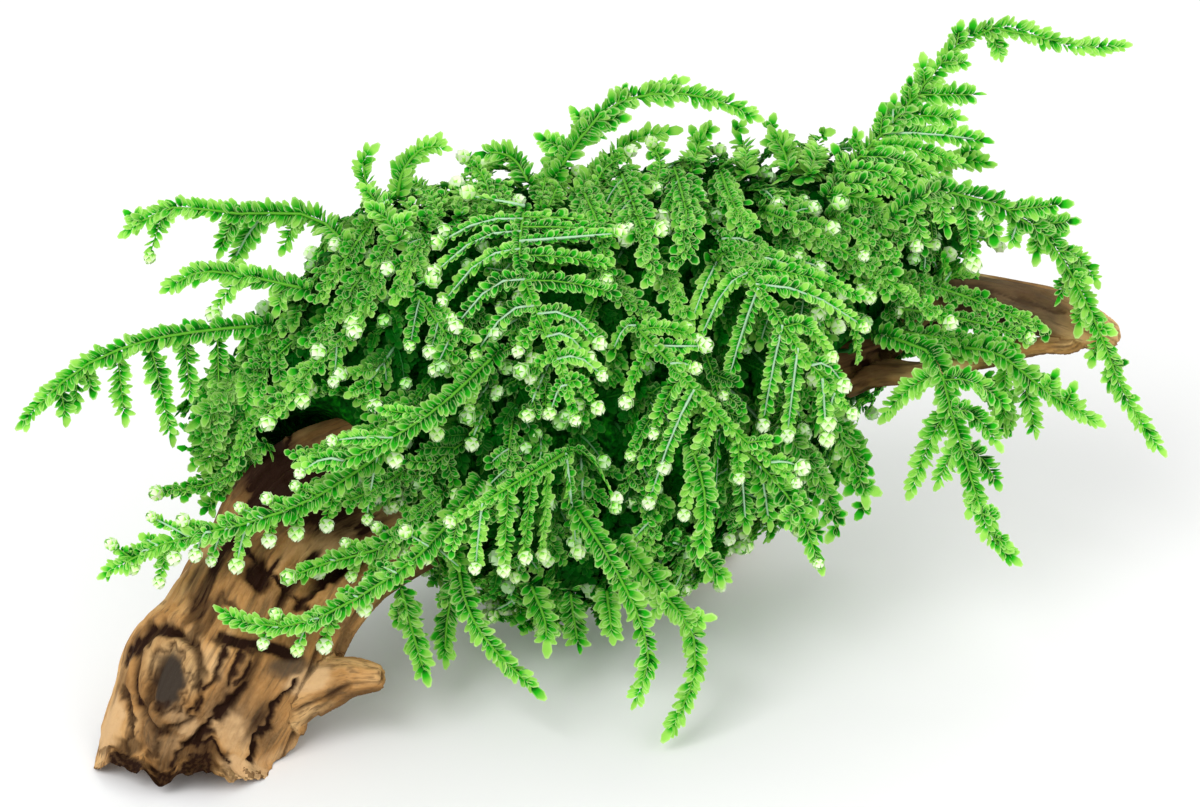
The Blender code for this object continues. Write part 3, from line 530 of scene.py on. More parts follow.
# Shoots that spread over the wood beside the cushion and over its edge, given as the fronds are.
CREEPING_SHOOTS = (
    (3.5, 3, ((-27, 58, -1), (-34, 54, 1), (-41, 51, 1), (-46.5, 50, 0))),
    (2.5, 3, ((-29, 48, -1), (-35, 44.5, -2), (-41, 42.5, -3))),
    (3, 2, ((-23, 45, -2), (-28.5, 40.5, -3), (-32.5, 36, -4), (-34.5, 32, -5))),
    (2.5, 3, ((-46, 60, -8), (-52, 55, -7), (-55, 48.5, -8))),
    (2.5, 2.5, ((-50, 66, -16), (-56, 60, -15), (-57, 51, -15), (-56.5, 44.5, -15))),
    (3, 2, ((-51, 63, -20), (-59, 57, -20), (-60.5, 49, -20))),
    (2, 3, ((-50, 52, -14), (-57, 46.5, -14), (-66, 44.6, -14))),
    (2.5, 2, ((-35, 47, -2), (-41, 46, -2), (-45, 44.5, -3))),
    (2.5, 3, ((44, 77, -25), (52, 75, -26.5), (60, 72, -27), (67, 69, -27))),
    (2.5, 2.5, ((43, 72.5, -24), (50, 71.5, -25), (58, 69.8, -26), (64, 68, -26))),
    (2.5, 3, ((44, 69, -23), (50, 68, -24), (57, 67.4, -25), (62.5, 66.8, -25))),
    (2, 2.5, ((46, 66.5, -24), (51, 65.8, -25), (56, 66, -25))),
    (2, 2, ((44, 76, -27), (50, 76.5, -28), (56, 77.5, -29))),
    (3, 3, ((-9, 87, -12), (-8, 92.5, -17), (-6, 95.5, -20))),
    (3, 3, ((-16, 87, -12), (-17.5, 92, -16), (-20, 94.5, -18))),
    (3, 3, ((-2, 88, -14), (0.5, 93, -18), (4, 95.5, -21))),
    (3, 3, ((-24, 86, -14), (-26, 90, -18), (-29, 92, -20))),
    (3, 3, ((8, 89, -16), (9, 94, -20), (8, 96.5, -22))),
    (3, 3, ((-26, 84, -20), (-24, 88, -23), (-22, 90.5, -25))),
    (3, 3, ((-21, 86, -18), (-20.5, 90, -21), (-19.5, 93.5, -22))),
    (2.5, 2.5, ((-18, 86, -20), (-18.5, 90, -23), (-20, 92.5, -24))),
    (3, 3, ((-29, 83, -20), (-28.5, 87, -23), (-28, 90, -24))),
    (4, 4, ((-1, 79, -6), (3, 74.5, -5), (8.5, 70.5, -5))),
    (3.5, 3.5, ((8, 80, -6), (11, 75, -5), (12.5, 70.5, -5))),
    (3, 3, ((-15, 86, -20), (-14, 90, -24), (-12.5, 92, -26))),
    (3, 3, ((-8, 87, -20), (-6, 91, -24), (-4, 92.5, -26))),
    (3, 4, ((34, 86, -10), (39, 84, -12), (44.5, 79.5, -15))),
    (3, 4, ((35, 90.5, -16), (41, 87, -17), (47, 82, -19))),
    (3, 4, ((36, 81, -13), (41, 78, -15), (46.5, 74, -19))),
    (5, 6, ((3, 93, -14), (6, 85, -4), (8, 77, -2))),
    (6, 5, ((11, 94, -14), (13, 86, -5), (12, 79, -3))),
    (4, 4, ((-3, 91, -14), (0, 84, -5), (1, 77, -2))),
    (4, 4, ((18, 93, -18), (20, 88, -10), (23, 84, -6))),
    (1.5, 4, ((17.3, 79.2, -4), (19.5, 80.9, -4), (25.5, 80.4, -6), (30.8, 76.8, -8))),
    (2, 2.5, ((24, 87, -10), (28.5, 85.2, -10), (33, 82.5, -12), (36.8, 79.8, -14), (41.7, 76.2, -16))),
    (3.5, 3.5, ((-30, 84.8, -8), (-32.3, 80.3, -6), (-34.2, 75, -4), (-36.6, 69.3, -3))),
    (3.5, 3.5, ((-33.8, 86, -12), (-36.8, 81.8, -9), (-39.8, 77.3, -8), (-42.3, 73.5, -7))),
    (3.5, 3.5, ((-26.3, 83.3, -6), (-28.5, 78.8, -4), (-30.4, 73.5, -3))),
    (3.5, 3.5, ((-35.3, 78, -6), (-38.3, 73.5, -5), (-41.3, 69, -5), (-43.5, 66.8, -6))),
)


@dataclass
class Layer:
    """A layer of the cushion's shoots: how many, their length, how far above the cushion they end,
    how wildly they point and twist, their branchlets' gap and length, the shares of those that have
    a bud and a pale stem, and whether it is the low layer, which has plainer leaves."""

    shoots: int
    length: float
    ends: tuple
    wildness: float
    twist: float
    gap: float
    branchlet: float
    buds: float
    ribs: float
    low: bool


LAYERS = (
    Layer(
        shoots=440, length=11.0, ends=(-2.4, 0.2), wildness=0.9, twist=0.35,
        gap=2.3, branchlet=4.2, buds=0.06, ribs=0.1, low=True,
    ),
    Layer(
        shoots=170, length=20.0, ends=(0.2, 1.9), wildness=0.35, twist=0.15,
        gap=3.3, branchlet=7.5, buds=0.20, ribs=0.25, low=False,
    ),
)

# A leaf, whole and in the plainer form of the low layer: its points, in its own length along it,
# across it and out of it, from its base round its rim to its middle; how light each of them is, its
# base darkest as painted shade where it tucks in at the stem; how near each is to the pale rim,
# which is partly a painted highlight on the thin edge; and its faces.
LEAF = (
    np.array((
        (0.00, 0.00, 0.00), (0.22, -0.32, 0.08), (0.66, -0.39, 0.12), (1.00, -0.14, 0.03),
        (1.00, 0.14, 0.03), (0.66, 0.39, 0.12), (0.22, 0.32, 0.08), (0.50, 0.00, -0.05),
    )),
    np.array((-1.5, -0.7, 0.2, 0.5, 0.5, 0.2, -0.7, -0.1)),
    np.array((0.4, 1.0, 1.0, 1.05, 1.05, 1.0, 1.0, 0.0)),
    np.array([(7, k, (k + 1) % 7) for k in range(7)]),
)
SMALL_LEAF = (
    np.array((
        (0.0, 0.0, 0.0), (0.45, -0.40, 0.1), (0.95, -0.14, 0.04), (0.95, 0.14, 0.04), (0.45, 0.40, 0.1),
    )),
    np.array((-0.9, 0.1, 0.5, 0.5, 0.1)),
    np.array((0.3, 0.8, 0.9, 0.9, 0.8)),
    np.array(((0, 1, 2), (0, 2, 3), (0, 3, 4))),
)
# How far leaves lift toward their shoot's front and roll to their hand, in radians, and how large the
# one at a shoot's tip is beside the others.
LEAF_LIFT = 0.14
LEAF_ROLL = 0.30
TIP_LEAF = 1.35
# A stem's tube: rings and sides on a stem and on a branchlet, the part of its leafy way that it takes,
# how much thinner its tip is than its root, and how far in front of its path it lies, in millimetres.
STEM_TUBES = ((9, 4), (4, 3))
STEM_PART = 0.94
STEM_TAPER = 0.55
STEM_RISE = 0.12
# How much wider the stem of a frond is than that of a shoot, how pale a pale stem is, and how long a
# branchlet has to be to have a pale stem and a bud.
FROND_STEM = 1.4
PALE_RIB = 1.3
LEAST_RIBBED = 3.5
LEAST_BUDDED = 3.0
# A branchlet that the wood has moved so far between two points is torn.
TORN_STEP = 1.6
# A bud: the grid and radius of its ball, its whorls in degrees from its tip, and the points of a
# scale as (degrees nearer the tip, radians round, radius, rim).
BALL_RINGS = 4
BALL_SIDES = 7
BALL_RADIUS = 0.84
BUD_WHORLS = (158, 118, 80)
BUD_SCALE = np.array((
    (0, -0.55, 0.86, 0.5), (0, 0.55, 0.86, 0.5), (34, 0.66, 1.0, 0.95), (34, -0.66, 1.0, 0.95),
    (66, 0.0, 1.14, 1.25),
))

# Inputs of the moss's tint, and each finish that it gives: its deep, middle, light and pale colours
# and its roughness.
TINT_MASKS = ("Tone", "Rim", "Shade")
TINT_COLOURS = ("Deep", "Middle", "Light", "Pale")
MOSS_FINISHES = {
    "living_leaf": ("deep", "middle", "light", "pale", 0.55),
    "living_stem": ("deep", "stem", "stem", "rib", 0.4),
    "living_bud": ("middle", "light", "pale", "bud", 0.4),
}
MOSS_SPECULAR = 0.06

# Lamps: name, place, width in metres, and power beside the key light's.
LAMPS = (
    ("key_light", (-0.45, -0.50, 0.75), 0.6, 1.0),
    ("fill_light", (0.60, -0.45, 0.45), 0.8, 0.4),
    ("back_light", (0.15, 0.65, 0.70), 0.6, 0.5),
)


# Geometry of places, paths and levels


def picture_axes():
    """The directions of across, up and toward in space, as the columns of a matrix."""
    rise, drop = math.sin(EYE_TILT), math.cos(EYE_TILT)
    return np.array([(1.0, 0.0, 0.0), (0.0, rise, -drop), (0.0, drop, rise)])


def in_space(places):
    """Points in metres of places (across, up, toward) in millimetres: nearer places shrink to the
    picture's middle by (distance - toward) / distance, then the picture's axes turn them."""
    p = np.asarray(places, float).reshape(-1, 3)
    shrink = (EYE_DISTANCE - p[:, 2:]) / EYE_DISTANCE
    flat = PICTURE_MIDDLE + (p[:, :2] - PICTURE_MIDDLE) * shrink
    return (np.hstack([flat, p[:, 2:]]) @ picture_axes().T - ORIGIN) * MM


def in_picture(points):
    """Places (across, up, toward) in millimetres of points in metres, the reverse of in_space."""
    p = (points / MM + ORIGIN) @ picture_axes()
    shrink = (EYE_DISTANCE - p[:, 2:]) / EYE_DISTANCE
    return np.hstack([PICTURE_MIDDLE + (p[:, :2] - PICTURE_MIDDLE) / shrink, p[:, 2:]])


def unit(vectors):
    return vectors / np.maximum(np.linalg.norm(vectors, axis=-1, keepdims=True), 1e-9)


def dot(a, b):
    return (a * b).sum(axis=-1, keepdims=True)


def ease(x):
    """0 below 0, 1 above 1, and smooth between: x squared times (3 - 2x)."""
    x = np.clip(x, 0.0, 1.0)
    return x * x * (3 - 2 * x)


def smooth_path(rows, count):
    """count rows on a Catmull-Rom curve through rows, evenly spaced by their first three columns."""
    p = np.asarray(rows, float)
    p = np.vstack([2 * p[0] - p[1], p, 2 * p[-1] - p[-2]])
    t = np.linspace(0, 1, CURVE_STEPS, endpoint=False)[:, None]
    fine = []
    for a, b, c, d in zip(p, p[1:], p[2:], p[3:]):
        bend = (2 * a - 5 * b + 4 * c - d) * t**2 + (3 * b - a - 3 * c + d) * t**3
        fine.append(b + 0.5 * ((c - a) * t + bend))
    fine = np.vstack([*fine, p[-2:-1]])
    steps = np.linalg.norm(np.diff(fine[:, :3], axis=0), axis=1)
    along = np.concatenate([[0], np.cumsum(steps)])
    at = np.linspace(0, along[-1], count)
    return np.stack([np.interp(at, along, column) for column in fine.T], axis=1)


def section_frames(middle):
    """Tangent, right and front directions along a middle line, front being the nearest to the eye."""
    tangent = unit(np.gradient(middle, axis=-2))
    right = unit(np.cross(tangent, TOWARD))
    return tangent, right, np.cross(right, tangent)


def waves(places, wavelength, seed, count=9):
    """Smooth unevenness from -1 to 1: the mean of sine waves of about this length in many directions."""
    rng = np.random.default_rng(seed)
    ways = unit(rng.normal(size=(count, 3)))
    turns = 2 * math.pi / (wavelength * rng.uniform(0.7, 1.4, count))
    phases = rng.uniform(0, 2 * math.pi, count)
    total = np.sin((places @ ways.T) * turns + phases).sum(axis=-1)
    return np.clip(total / (0.9 * math.sqrt(count)), -1.5, 1.5)


def cushion_sections(across):
    """Middle up, toward, half height and half depth of the cushion at places across it."""
    return [np.interp(across, CUSHION[:, 0], CUSHION[:, i]) for i in range(1, 5)]


def cushion_level(p):
    """How far places lie outside the cushion, in millimetres, and the direction out of it."""

    def reach(q):
        up, toward, high, deep = cushion_sections(q[..., 0])
        beyond = np.maximum(np.maximum(CUSHION[0, 0] - q[..., 0], q[..., 0] - CUSHION[-1, 0]), 0)
        round_it = np.sqrt(((q[..., 1] - up) / high) ** 2 + ((q[..., 2] - toward) / deep) ** 2)
        return (round_it - 1) * 0.5 * (high + deep) + beyond

    here = reach(p)
    slope = np.stack([reach(p + step) - here for step in SLOPE_STEP * np.eye(3)], axis=-1)
    return here, unit(slope)


def clear_of_cushion(places, clearance, facing, on_it=False):
    """The places, moved toward the eye (facing 1) or away (-1) where they'd be in the cushion.

    With on_it, a place over the cushion moves onto it from in front as well.
    """
    p = np.array(places, float)
    across = p[..., 0]
    up, toward, high, deep = cushion_sections(across)
    inside = (across > CUSHION[0, 0] - CUSHION_MARGIN) & (across < CUSHION[-1, 0] + CUSHION_MARGIN)
    height = (p[..., 1] - up) / (high + clearance)
    bulge = (deep + clearance) * np.sqrt(np.clip(1 - height**2, 0, 1))
    over = inside & (np.abs(height) < 1)
    surface = toward + facing * bulge
    moved = over & (on_it | (facing * (p[..., 2] - surface) < 0))
    p[..., 2] = np.where(moved, surface, p[..., 2])
    return p


def oval_radii(flat, across, up, wide, high, degrees):
    """How many radii flat places are from the middle of a turned oval of these half sizes."""
    c, s = math.cos(math.radians(degrees)), math.sin(math.radians(degrees))
    offset = (flat - (across, up)) @ np.array([(c, -s), (s, c)])
    return np.linalg.norm(offset / (wide, high), axis=-1)


def in_clearing(p):
    """How far places are in a clearing, from 0 at its edge and outside to 1 in its middle."""
    most = np.zeros(p.shape[:-1])
    for clearing in CLEARINGS:
        most = np.maximum(most, 1 - oval_radii(p[..., :2], *clearing))
    return most * (p[..., 2] > cushion_sections(p[..., 0])[1])


def limb_lines():
    """For each limb: its middle line with half sizes, and its frames, at close steps."""
    lines = []
    for stations, *_ in LIMBS.values():
        rows = smooth_path(stations, LIMB_STEPS)
        lines.append((rows, *section_frames(rows[:, :3])))
    return lines


def clear_of_wood(p, clearance):
    """The places, pushed straight out of the limbs until they are this far from their surface, which
    is taken as balls at every third step of the middle lines."""
    p = np.array(p, float)
    flat = p.reshape(-1, 3)
    for rows, *_ in limb_lines():
        line, radius = rows[::3, :3], rows[::3, 3:].min(axis=1)
        for start in range(0, len(flat), BLOCK):
            part = flat[start:start + BLOCK]
            away = np.linalg.norm(part[:, None] - line[None], axis=-1) - radius
            nearest = away.argmin(axis=1)
            gap = away[np.arange(len(part)), nearest]
            outward = unit(part - line[nearest])
            part += outward * np.clip(clearance - gap, 0, None)[:, None]
    return flat.reshape(p.shape)


# Meshes and materials


def tube_faces(rings, sides):
    """Triangles of a closed tube: two for each cell of the grid of its rings, and a fan round each of
    the two points that come after the rings, at its start and its end."""
    i, k = np.meshgrid(np.arange(rings - 1), np.arange(sides), indexing="ij")
    a, b = i * sides + k, i * sides + (k + 1) % sides
    c, d = b + sides, a + sides
    k = np.arange(sides)
    ahead, last = (k + 1) % sides, (rings - 1) * sides
    pole = np.full(sides, rings * sides)
    return np.concatenate([
        np.stack([a, b, c], -1).reshape(-1, 3),
        np.stack([a, c, d], -1).reshape(-1, 3),
        np.stack([pole, ahead, k], -1),
        np.stack([pole + 1, last + k, last + ahead], -1),
    ])


def joined(parts):
    """The points and the faces of many (points, faces) as one."""
    starts = np.cumsum([0] + [len(points) for points, _ in parts[:-1]])
    points = np.vstack([points for points, _ in parts])
    return points, np.vstack([faces + start for (_, faces), start in zip(parts, starts)])


def mesh_object(name, points, faces, materials, slots=None, attributes=None):
    """A smooth mesh object from arrays of points in metres and of triangles, with its materials, the
    material slot of each triangle and the attributes of the points."""
    mesh = bpy.data.meshes.new(name)
    mesh.vertices.add(len(points))
    mesh.vertices.foreach_set("co", np.ascontiguousarray(points, np.float32).ravel())
    mesh.loops.add(faces.size)
    mesh.loops.foreach_set("vertex_index", np.ascontiguousarray(faces, np.int32).ravel())
    mesh.polygons.add(len(faces))
    mesh.polygons.foreach_set("loop_start", np.arange(0, faces.size, 3, dtype=np.int32))
    if slots is not None:
        mesh.polygons.foreach_set("material_index", np.ascontiguousarray(slots, np.int32))
    mesh.update(calc_edges=True)
    mesh.shade_smooth()
    for material in materials:
        mesh.materials.append(material)
    write_attributes(mesh, attributes or {})
    made = bpy.data.objects.new(name, mesh)
    bpy.context.scene.collection.objects.link(made)
    return made


def read_vertices(mesh, field):
    """The place or the normal of each vertex, as field says."""
    values = np.empty(len(mesh.vertices) * 3, np.float32)
    mesh.vertices.foreach_get(field, values)
    return values.reshape(-1, 3).astype(float)


def write_attributes(mesh, attributes):
    for name, values in attributes.items():
        kind = "FLOAT" if values.ndim == 1 else "FLOAT_VECTOR"
        field = "value" if values.ndim == 1 else "vector"
        attribute = mesh.attributes.new(name, kind, "POINT")
        attribute.data.foreach_set(field, np.ascontiguousarray(values, np.float32).ravel())


def feed(tree, socket, value):
    """Links the input to the value if that is a socket, and otherwise sets it to the value."""
    if isinstance(value, bpy.types.NodeSocket):
        tree.links.new(value, socket)
    else:
        socket.default_value = (*value, 1.0) if socket.type == "RGBA" else value


def add_node(tree, kind, inputs=None, **properties):
    """A shader node with its properties, and with its inputs, by their names, fed by sockets, numbers,
    vectors or colours."""
    made = tree.nodes.new(kind)
    for name, value in properties.items():
        setattr(made, name, value)
    for name, value in (inputs or {}).items():
        feed(tree, made.inputs[name], value)
    return made


def new_material(name, roughness, specular):
    """A material with a Principled shader of this roughness. Returns it, its tree and the shader."""
    material = bpy.data.materials.new(name)
    material.use_nodes = True
    tree = material.node_tree
    shader = tree.nodes["Principled BSDF"]
    shader.inputs["Roughness"].default_value = roughness
    shader.inputs["Specular IOR Level"].default_value = specular
    return material, tree, shader


def read_attribute(tree, name, output="Fac"):
    return add_node(tree, "ShaderNodeAttribute", attribute_name=name).outputs[output]


def ramp(tree, factor, stops):
    """A colour ramp over the factor, from (place, colour) stops."""
    made = add_node(tree, "ShaderNodeValToRGB", {"Fac": factor})
    elements = made.color_ramp.elements
    while len(elements) < len(stops):
        elements.new(0.5)
    for element, (place, colour) in zip(elements, stops):
        element.position = place
        element.color = (*colour, 1.0)
    return made.outputs["Color"]


def mix_colour(tree, factor, first, second):
    """The mix of two colours, each a socket or a colour, by a factor that is a socket or a number."""
    made = add_node(tree, "ShaderNodeMix", data_type="RGBA")
    for place, value in ((0, factor), (6, first), (7, second)):
        feed(tree, made.inputs[place], value)
    return made.outputs[2]


def calculate(tree, operation, *values):
    """The sum, difference or product of sockets and numbers, a product being kept from 0 to 1."""
    made = add_node(tree, "ShaderNodeMath", operation=operation, use_clamp=operation == "MULTIPLY")
    for socket, value in zip(made.inputs, values):
        feed(tree, socket, value)
    return made.outputs[0]


def noise(tree, vector, scale, detail=3.0, stretch=(1.0, 1.0, 1.0)):
    """Noise over a vector that is stretched first."""
    stretched = add_node(tree, "ShaderNodeMapping", {"Vector": vector, "Scale": stretch}).outputs["Vector"]
    inputs = {"Vector": stretched, "Scale": scale, "Detail": detail}
    return add_node(tree, "ShaderNodeTexNoise", inputs).outputs["Fac"]


def object_place(tree):
    return add_node(tree, "ShaderNodeTexCoord").outputs["Object"]


def bump(tree, shader, height, strength, distance):
    inputs = {"Height": height, "Strength": strength, "Distance": distance}
    feed(tree, shader.inputs["Normal"], add_node(tree, "ShaderNodeBump", inputs).outputs["Normal"])


def moss_tint_group():
    """The colour of a bit of moss: from deep over middle to light by its tone and a slow noise, pale
    along its rim, partly as a painted highlight, and mixed toward deep by its painted shade, which is
    greater the farther in it grows."""
    if "moss_tint" in bpy.data.node_groups:
        return bpy.data.node_groups["moss_tint"]
    group = bpy.data.node_groups.new("moss_tint", "ShaderNodeTree")
    for names, kind in ((TINT_MASKS, "NodeSocketFloat"), (TINT_COLOURS, "NodeSocketColor")):
        for name in names:
            group.interface.new_socket(name, in_out="INPUT", socket_type=kind)
    group.interface.new_socket("Color", in_out="OUTPUT", socket_type="NodeSocketColor")
    start = group.nodes.new("NodeGroupInput").outputs
    end = group.nodes.new("NodeGroupOutput").inputs

    def eased(value, low, high, most=1.0):
        inputs = {"Value": value, "From Min": low, "From Max": high, "To Max": most}
        return add_node(
            group, "ShaderNodeMapRange", inputs, interpolation_type="SMOOTHSTEP"
        ).outputs["Result"]

    patches = noise(group, object_place(group), scale=160.0, detail=2.0)
    patches = calculate(group, "SUBTRACT", patches, 0.5)
    tone = calculate(group, "ADD", start["Tone"], patches)
    colour = mix_colour(group, eased(tone, -1.0, 0.0), start["Deep"], start["Middle"])
    colour = mix_colour(group, eased(tone, -0.12, 0.9), colour, start["Light"])
    colour = mix_colour(group, eased(start["Rim"], 0.68, 1.05, 0.7), colour, start["Pale"])
    colour = mix_colour(group, start["Shade"], colour, start["Deep"])
    feed(group, end["Color"], colour)
    return group


def moss_materials():
    """The materials of leaves, stems and buds, made once: each is tinted by the moss_tint group over
    the piece's own tone, rim and shade."""
    if all(name in bpy.data.materials for name in MOSS_FINISHES):
        return [bpy.data.materials[name] for name in MOSS_FINISHES]
    colours = bpy.context.scene.weeping_moss.colours
    made = []
    for name, (*tints, roughness) in MOSS_FINISHES.items():
        material, tree, shader = new_material(name, roughness, MOSS_SPECULAR)
        inputs = {mask: read_attribute(tree, mask.lower()) for mask in TINT_MASKS}
        inputs.update(zip(TINT_COLOURS, (getattr(colours, tint) for tint in tints)))
        colour = add_node(tree, "ShaderNodeGroup", inputs, node_tree=moss_tint_group()).outputs["Color"]
        feed(tree, shader.inputs["Base Color"], colour)
        if name == "living_leaf":
            let_light_through(tree, shader, colour, colours.see_through)
        made.append(material)
    return made


def let_light_through(tree, shader, colour, part):
    """Mixes the shader with a translucent one of the same colour."""
    through = add_node(tree, "ShaderNodeBsdfTranslucent", {"Color": colour})
    both = add_node(tree, "ShaderNodeMixShader")
    for socket, value in zip(both.inputs, (part, shader.outputs["BSDF"], through.outputs["BSDF"])):
        feed(tree, socket, value)
    feed(tree, tree.nodes["Material Output"].inputs["Surface"], both.outputs["Shader"])


def mat_material():
    """The inside of the moss, painted dark as the shade deep in it: tufts of noise from nearly black to
    green.
    """
    colours = bpy.context.scene.weeping_moss.colours
    material, tree, shader = new_material("moss_ground", roughness=0.8, specular=0.1)
    tufts = noise(tree, object_place(tree), scale=900.0, detail=4.0)
    colour = ramp(tree, tufts, (
        (0.3, tuple(0.15 * c for c in colours.deep)),
        (0.52, colours.deep),
        (0.70, tuple(0.7 * c for c in colours.middle)),
    ))
    feed(tree, shader.inputs["Base Color"], colour)
    bump(tree, shader, tufts, strength=0.9, distance=0.0008)
    return material


def wood_material():
    """Weathered brown wood, over the piece's grain (along, right, front) and its marks: from shaded
    over middle to worn in broad streaks, with dark lines between the fibres and light specks, then
    bleached where it is pale, stained where it is grey, and dark where the dark mark paints shade: in
    its cracks, hollows and sunken knot rings, on undersides and under the moss."""
    wood = bpy.context.scene.weeping_moss.wood
    material, tree, shader = new_material("weathered_wood", roughness=0.75, specular=0.12)
    grain = read_attribute(tree, "grain", "Vector")
    dark, pale, grey = (read_attribute(tree, name) for name in ("dark", "pale", "grey"))
    broad = noise(tree, grain, scale=0.16, detail=4.0, stretch=(0.45, 1.0, 1.0))
    fibres = noise(tree, grain, scale=1.5, detail=6.0, stretch=(0.09, 1.0, 1.0))
    specks = noise(tree, grain, scale=2.6, detail=4.0, stretch=(0.5, 1.0, 1.0))
    rough_edge = noise(tree, grain, scale=0.9, detail=3.0, stretch=(0.6, 1.0, 1.0))

    def times(first, second):
        return calculate(tree, "MULTIPLY", first, second)

    def plus(first, second):
        return calculate(tree, "ADD", first, second)

    colour = ramp(tree, broad, ((0.36, wood.shaded), (0.5, wood.middle), (0.66, wood.worn)))
    lines = ramp(tree, fibres, ((0.36, (0.0, 0.0, 0.0)), (0.48, (1.0, 1.0, 1.0))))
    colour = mix_colour(tree, 0.62, colour, mix_colour(tree, lines, wood.crevice, colour))
    colour = mix_colour(tree, times(specks, 0.35), colour, wood.worn)
    ragged = calculate(tree, "SUBTRACT", rough_edge, 0.5)
    pale_part = times(times(pale, plus(pale, ragged)), 1.3)
    colour = mix_colour(tree, pale_part, colour, wood.bleached)
    grey_part = times(grey, times(plus(grey, times(ragged, 0.5)), 1.15))
    colour = mix_colour(tree, grey_part, colour, wood.stained)
    # Painted shade and shadow: the dark mark turns the wood toward the crevice colour.
    colour = mix_colour(tree, times(dark, plus(fibres, 0.6)), colour, wood.crevice)
    feed(tree, shader.inputs["Base Color"], colour)
    roughness = add_node(tree, "ShaderNodeMapRange", {"Value": fibres, "To Min": 0.6, "To Max": 0.9})
    feed(tree, shader.inputs["Roughness"], roughness.outputs["Result"])
    bump(tree, shader, plus(times(fibres, 0.7), times(specks, 0.3)), strength=0.8, distance=0.0006)
    return material


# Driftwood


def limb_surface(name, sides):
    """Points and faces of one limb: an ellipse whose half sizes follow the stations, plus swellings,
    ridges and unevenness round it, carried along the middle line, with a rounded end at both ends."""
    stations, swellings, ridges, phase = LIMBS[name]
    stations = np.array(stations)
    length = np.linalg.norm(np.diff(stations[:, :3], axis=0), axis=1).sum()
    count = round(length / RING_GAP) + 1
    rows = smooth_path(stations, count)
    middle, half = rows[:, :3], rows[:, 3:]
    tangent, right, front = section_frames(middle)
    angles = np.arange(sides) * 2 * math.pi / sides
    along = np.linspace(0, length, count)[:, None]
    radius = half.mean(axis=1)[:, None]
    swell = UNEVENNESS * radius * np.sin(2 * angles + UNEVEN_TWIST * along + phase)
    for at, degrees, half_length, half_breadth, most in swellings:
        turn = (angles - math.radians(degrees) + math.pi) % (2 * math.pi) - math.pi
        away = ((along - at) / half_length) ** 2 + (turn * radius / half_breadth) ** 2
        swell = swell + most * np.exp(-away)
    if ridges:
        swell = swell + RIDGE_HEIGHT * np.sin(ridges * angles + RIDGE_TWIST * along)
    wide = (half[:, :1] + swell) * np.cos(angles)
    deep = (half[:, 1:] + swell) * np.sin(angles)
    rings = middle[:, None] + wide[..., None] * right[:, None] + deep[..., None] * front[:, None]
    start = rounded_end(rings[0], middle[0], -tangent[0])[::-1]
    end = rounded_end(rings[-1], middle[-1], tangent[-1])
    rings = np.concatenate([start, rings, end])
    points = np.vstack([rings.reshape(-1, 3), rings[0].mean(axis=0), rings[-1].mean(axis=0)])
    return points, tube_faces(len(rings), sides)


def rounded_end(ring, middle, outward):
    """Rings that close a tube: each is shrunk by the cosine of a turn and moved out by its sine."""
    turns = np.radians(END_TURNS)
    radius = np.linalg.norm(ring - middle, axis=1).min()
    shrunk = (ring - middle) * np.cos(turns)[:, None, None]
    return middle + shrunk + outward * (END_LENGTH * radius * np.sin(turns))[:, None, None]


def joined_wood():
    """All limbs in one mesh, flattened onto the ground, then remeshed to one skin."""
    wood = bpy.context.scene.weeping_moss.wood
    places, faces = joined([
        limb_surface(name, TRUNK_SIDES if name == "driftwood_trunk" else LIMB_SIDES) for name in LIMBS
    ])
    points = in_space(places)
    points[:, 2] = np.maximum(points[:, 2], 0.0)
    made = mesh_object("driftwood_raw", points, faces, ())
    remesh = made.modifiers.new("one_skin", "REMESH")
    remesh.mode = "VOXEL"
    remesh.voxel_size = wood.skin_step
    smooth = made.modifiers.new("soft_forks", "SMOOTH")
    smooth.iterations = 4
    smooth.factor = 0.5
    graph = bpy.context.evaluated_depsgraph_get()
    mesh = bpy.data.meshes.new_from_object(made.evaluated_get(graph))
    bpy.data.objects.remove(made)
    return mesh


def broken_end(points, places):
    """Raises the lower end of the trunk to a ragged edge: a height z under BREAK_HEIGHT goes to
    edge + z (1 - edge / BREAK_HEIGHT), where edge follows BROKEN_EDGE with splinters on it."""
    edge = np.interp(places[:, 0], *zip(*BROKEN_EDGE))
    grain = np.stack([places[:, 0], 0.25 * places[:, 1], 0.5 * places[:, 2]], axis=1)
    splinters = np.clip(waves(grain, wavelength=2.3, seed=5) + 0.3, 0, 1) * SPLINTER_HEIGHT
    edge = np.where(places[:, 0] < BROKEN_EDGE[-1][0] + 4, edge + splinters * ease(edge / 0.4), 0.0)
    height = points[:, 2] / MM
    raised = np.where(height < BREAK_HEIGHT, edge + height * (1 - edge / BREAK_HEIGHT), height)
    points[:, 2] = raised * MM


def limb_coordinates(places):
    """For each place: how far along its nearest limb it is, its right and front offsets from the
    middle line, and the limb's radius there."""
    best = np.full(len(places), np.inf)
    grain = np.zeros((len(places), 3))
    radius = np.ones(len(places))
    for rows, *frames in limb_lines():
        line, half = rows[:, :3], rows[:, 3:].mean(axis=1)
        steps = np.concatenate([[0], np.cumsum(np.linalg.norm(np.diff(line, axis=0), axis=1))])
        for start in range(0, len(places), BLOCK):
            part = slice(start, start + BLOCK)
            away = np.linalg.norm(places[part, None] - line[None], axis=-1) / half
            nearest = away.argmin(axis=1)
            gap = away[np.arange(len(nearest)), nearest]
            offset = places[part] - line[nearest]
            local = np.stack([(offset * axis[nearest]).sum(1) for axis in frames], axis=1)
            local[:, 0] += steps[nearest]
            closer = gap < best[part]
            grain[part] = np.where(closer[:, None], local, grain[part])
            radius[part] = np.where(closer, half[nearest], radius[part])
            best[part] = np.where(closer, gap, best[part])
    return grain, radius


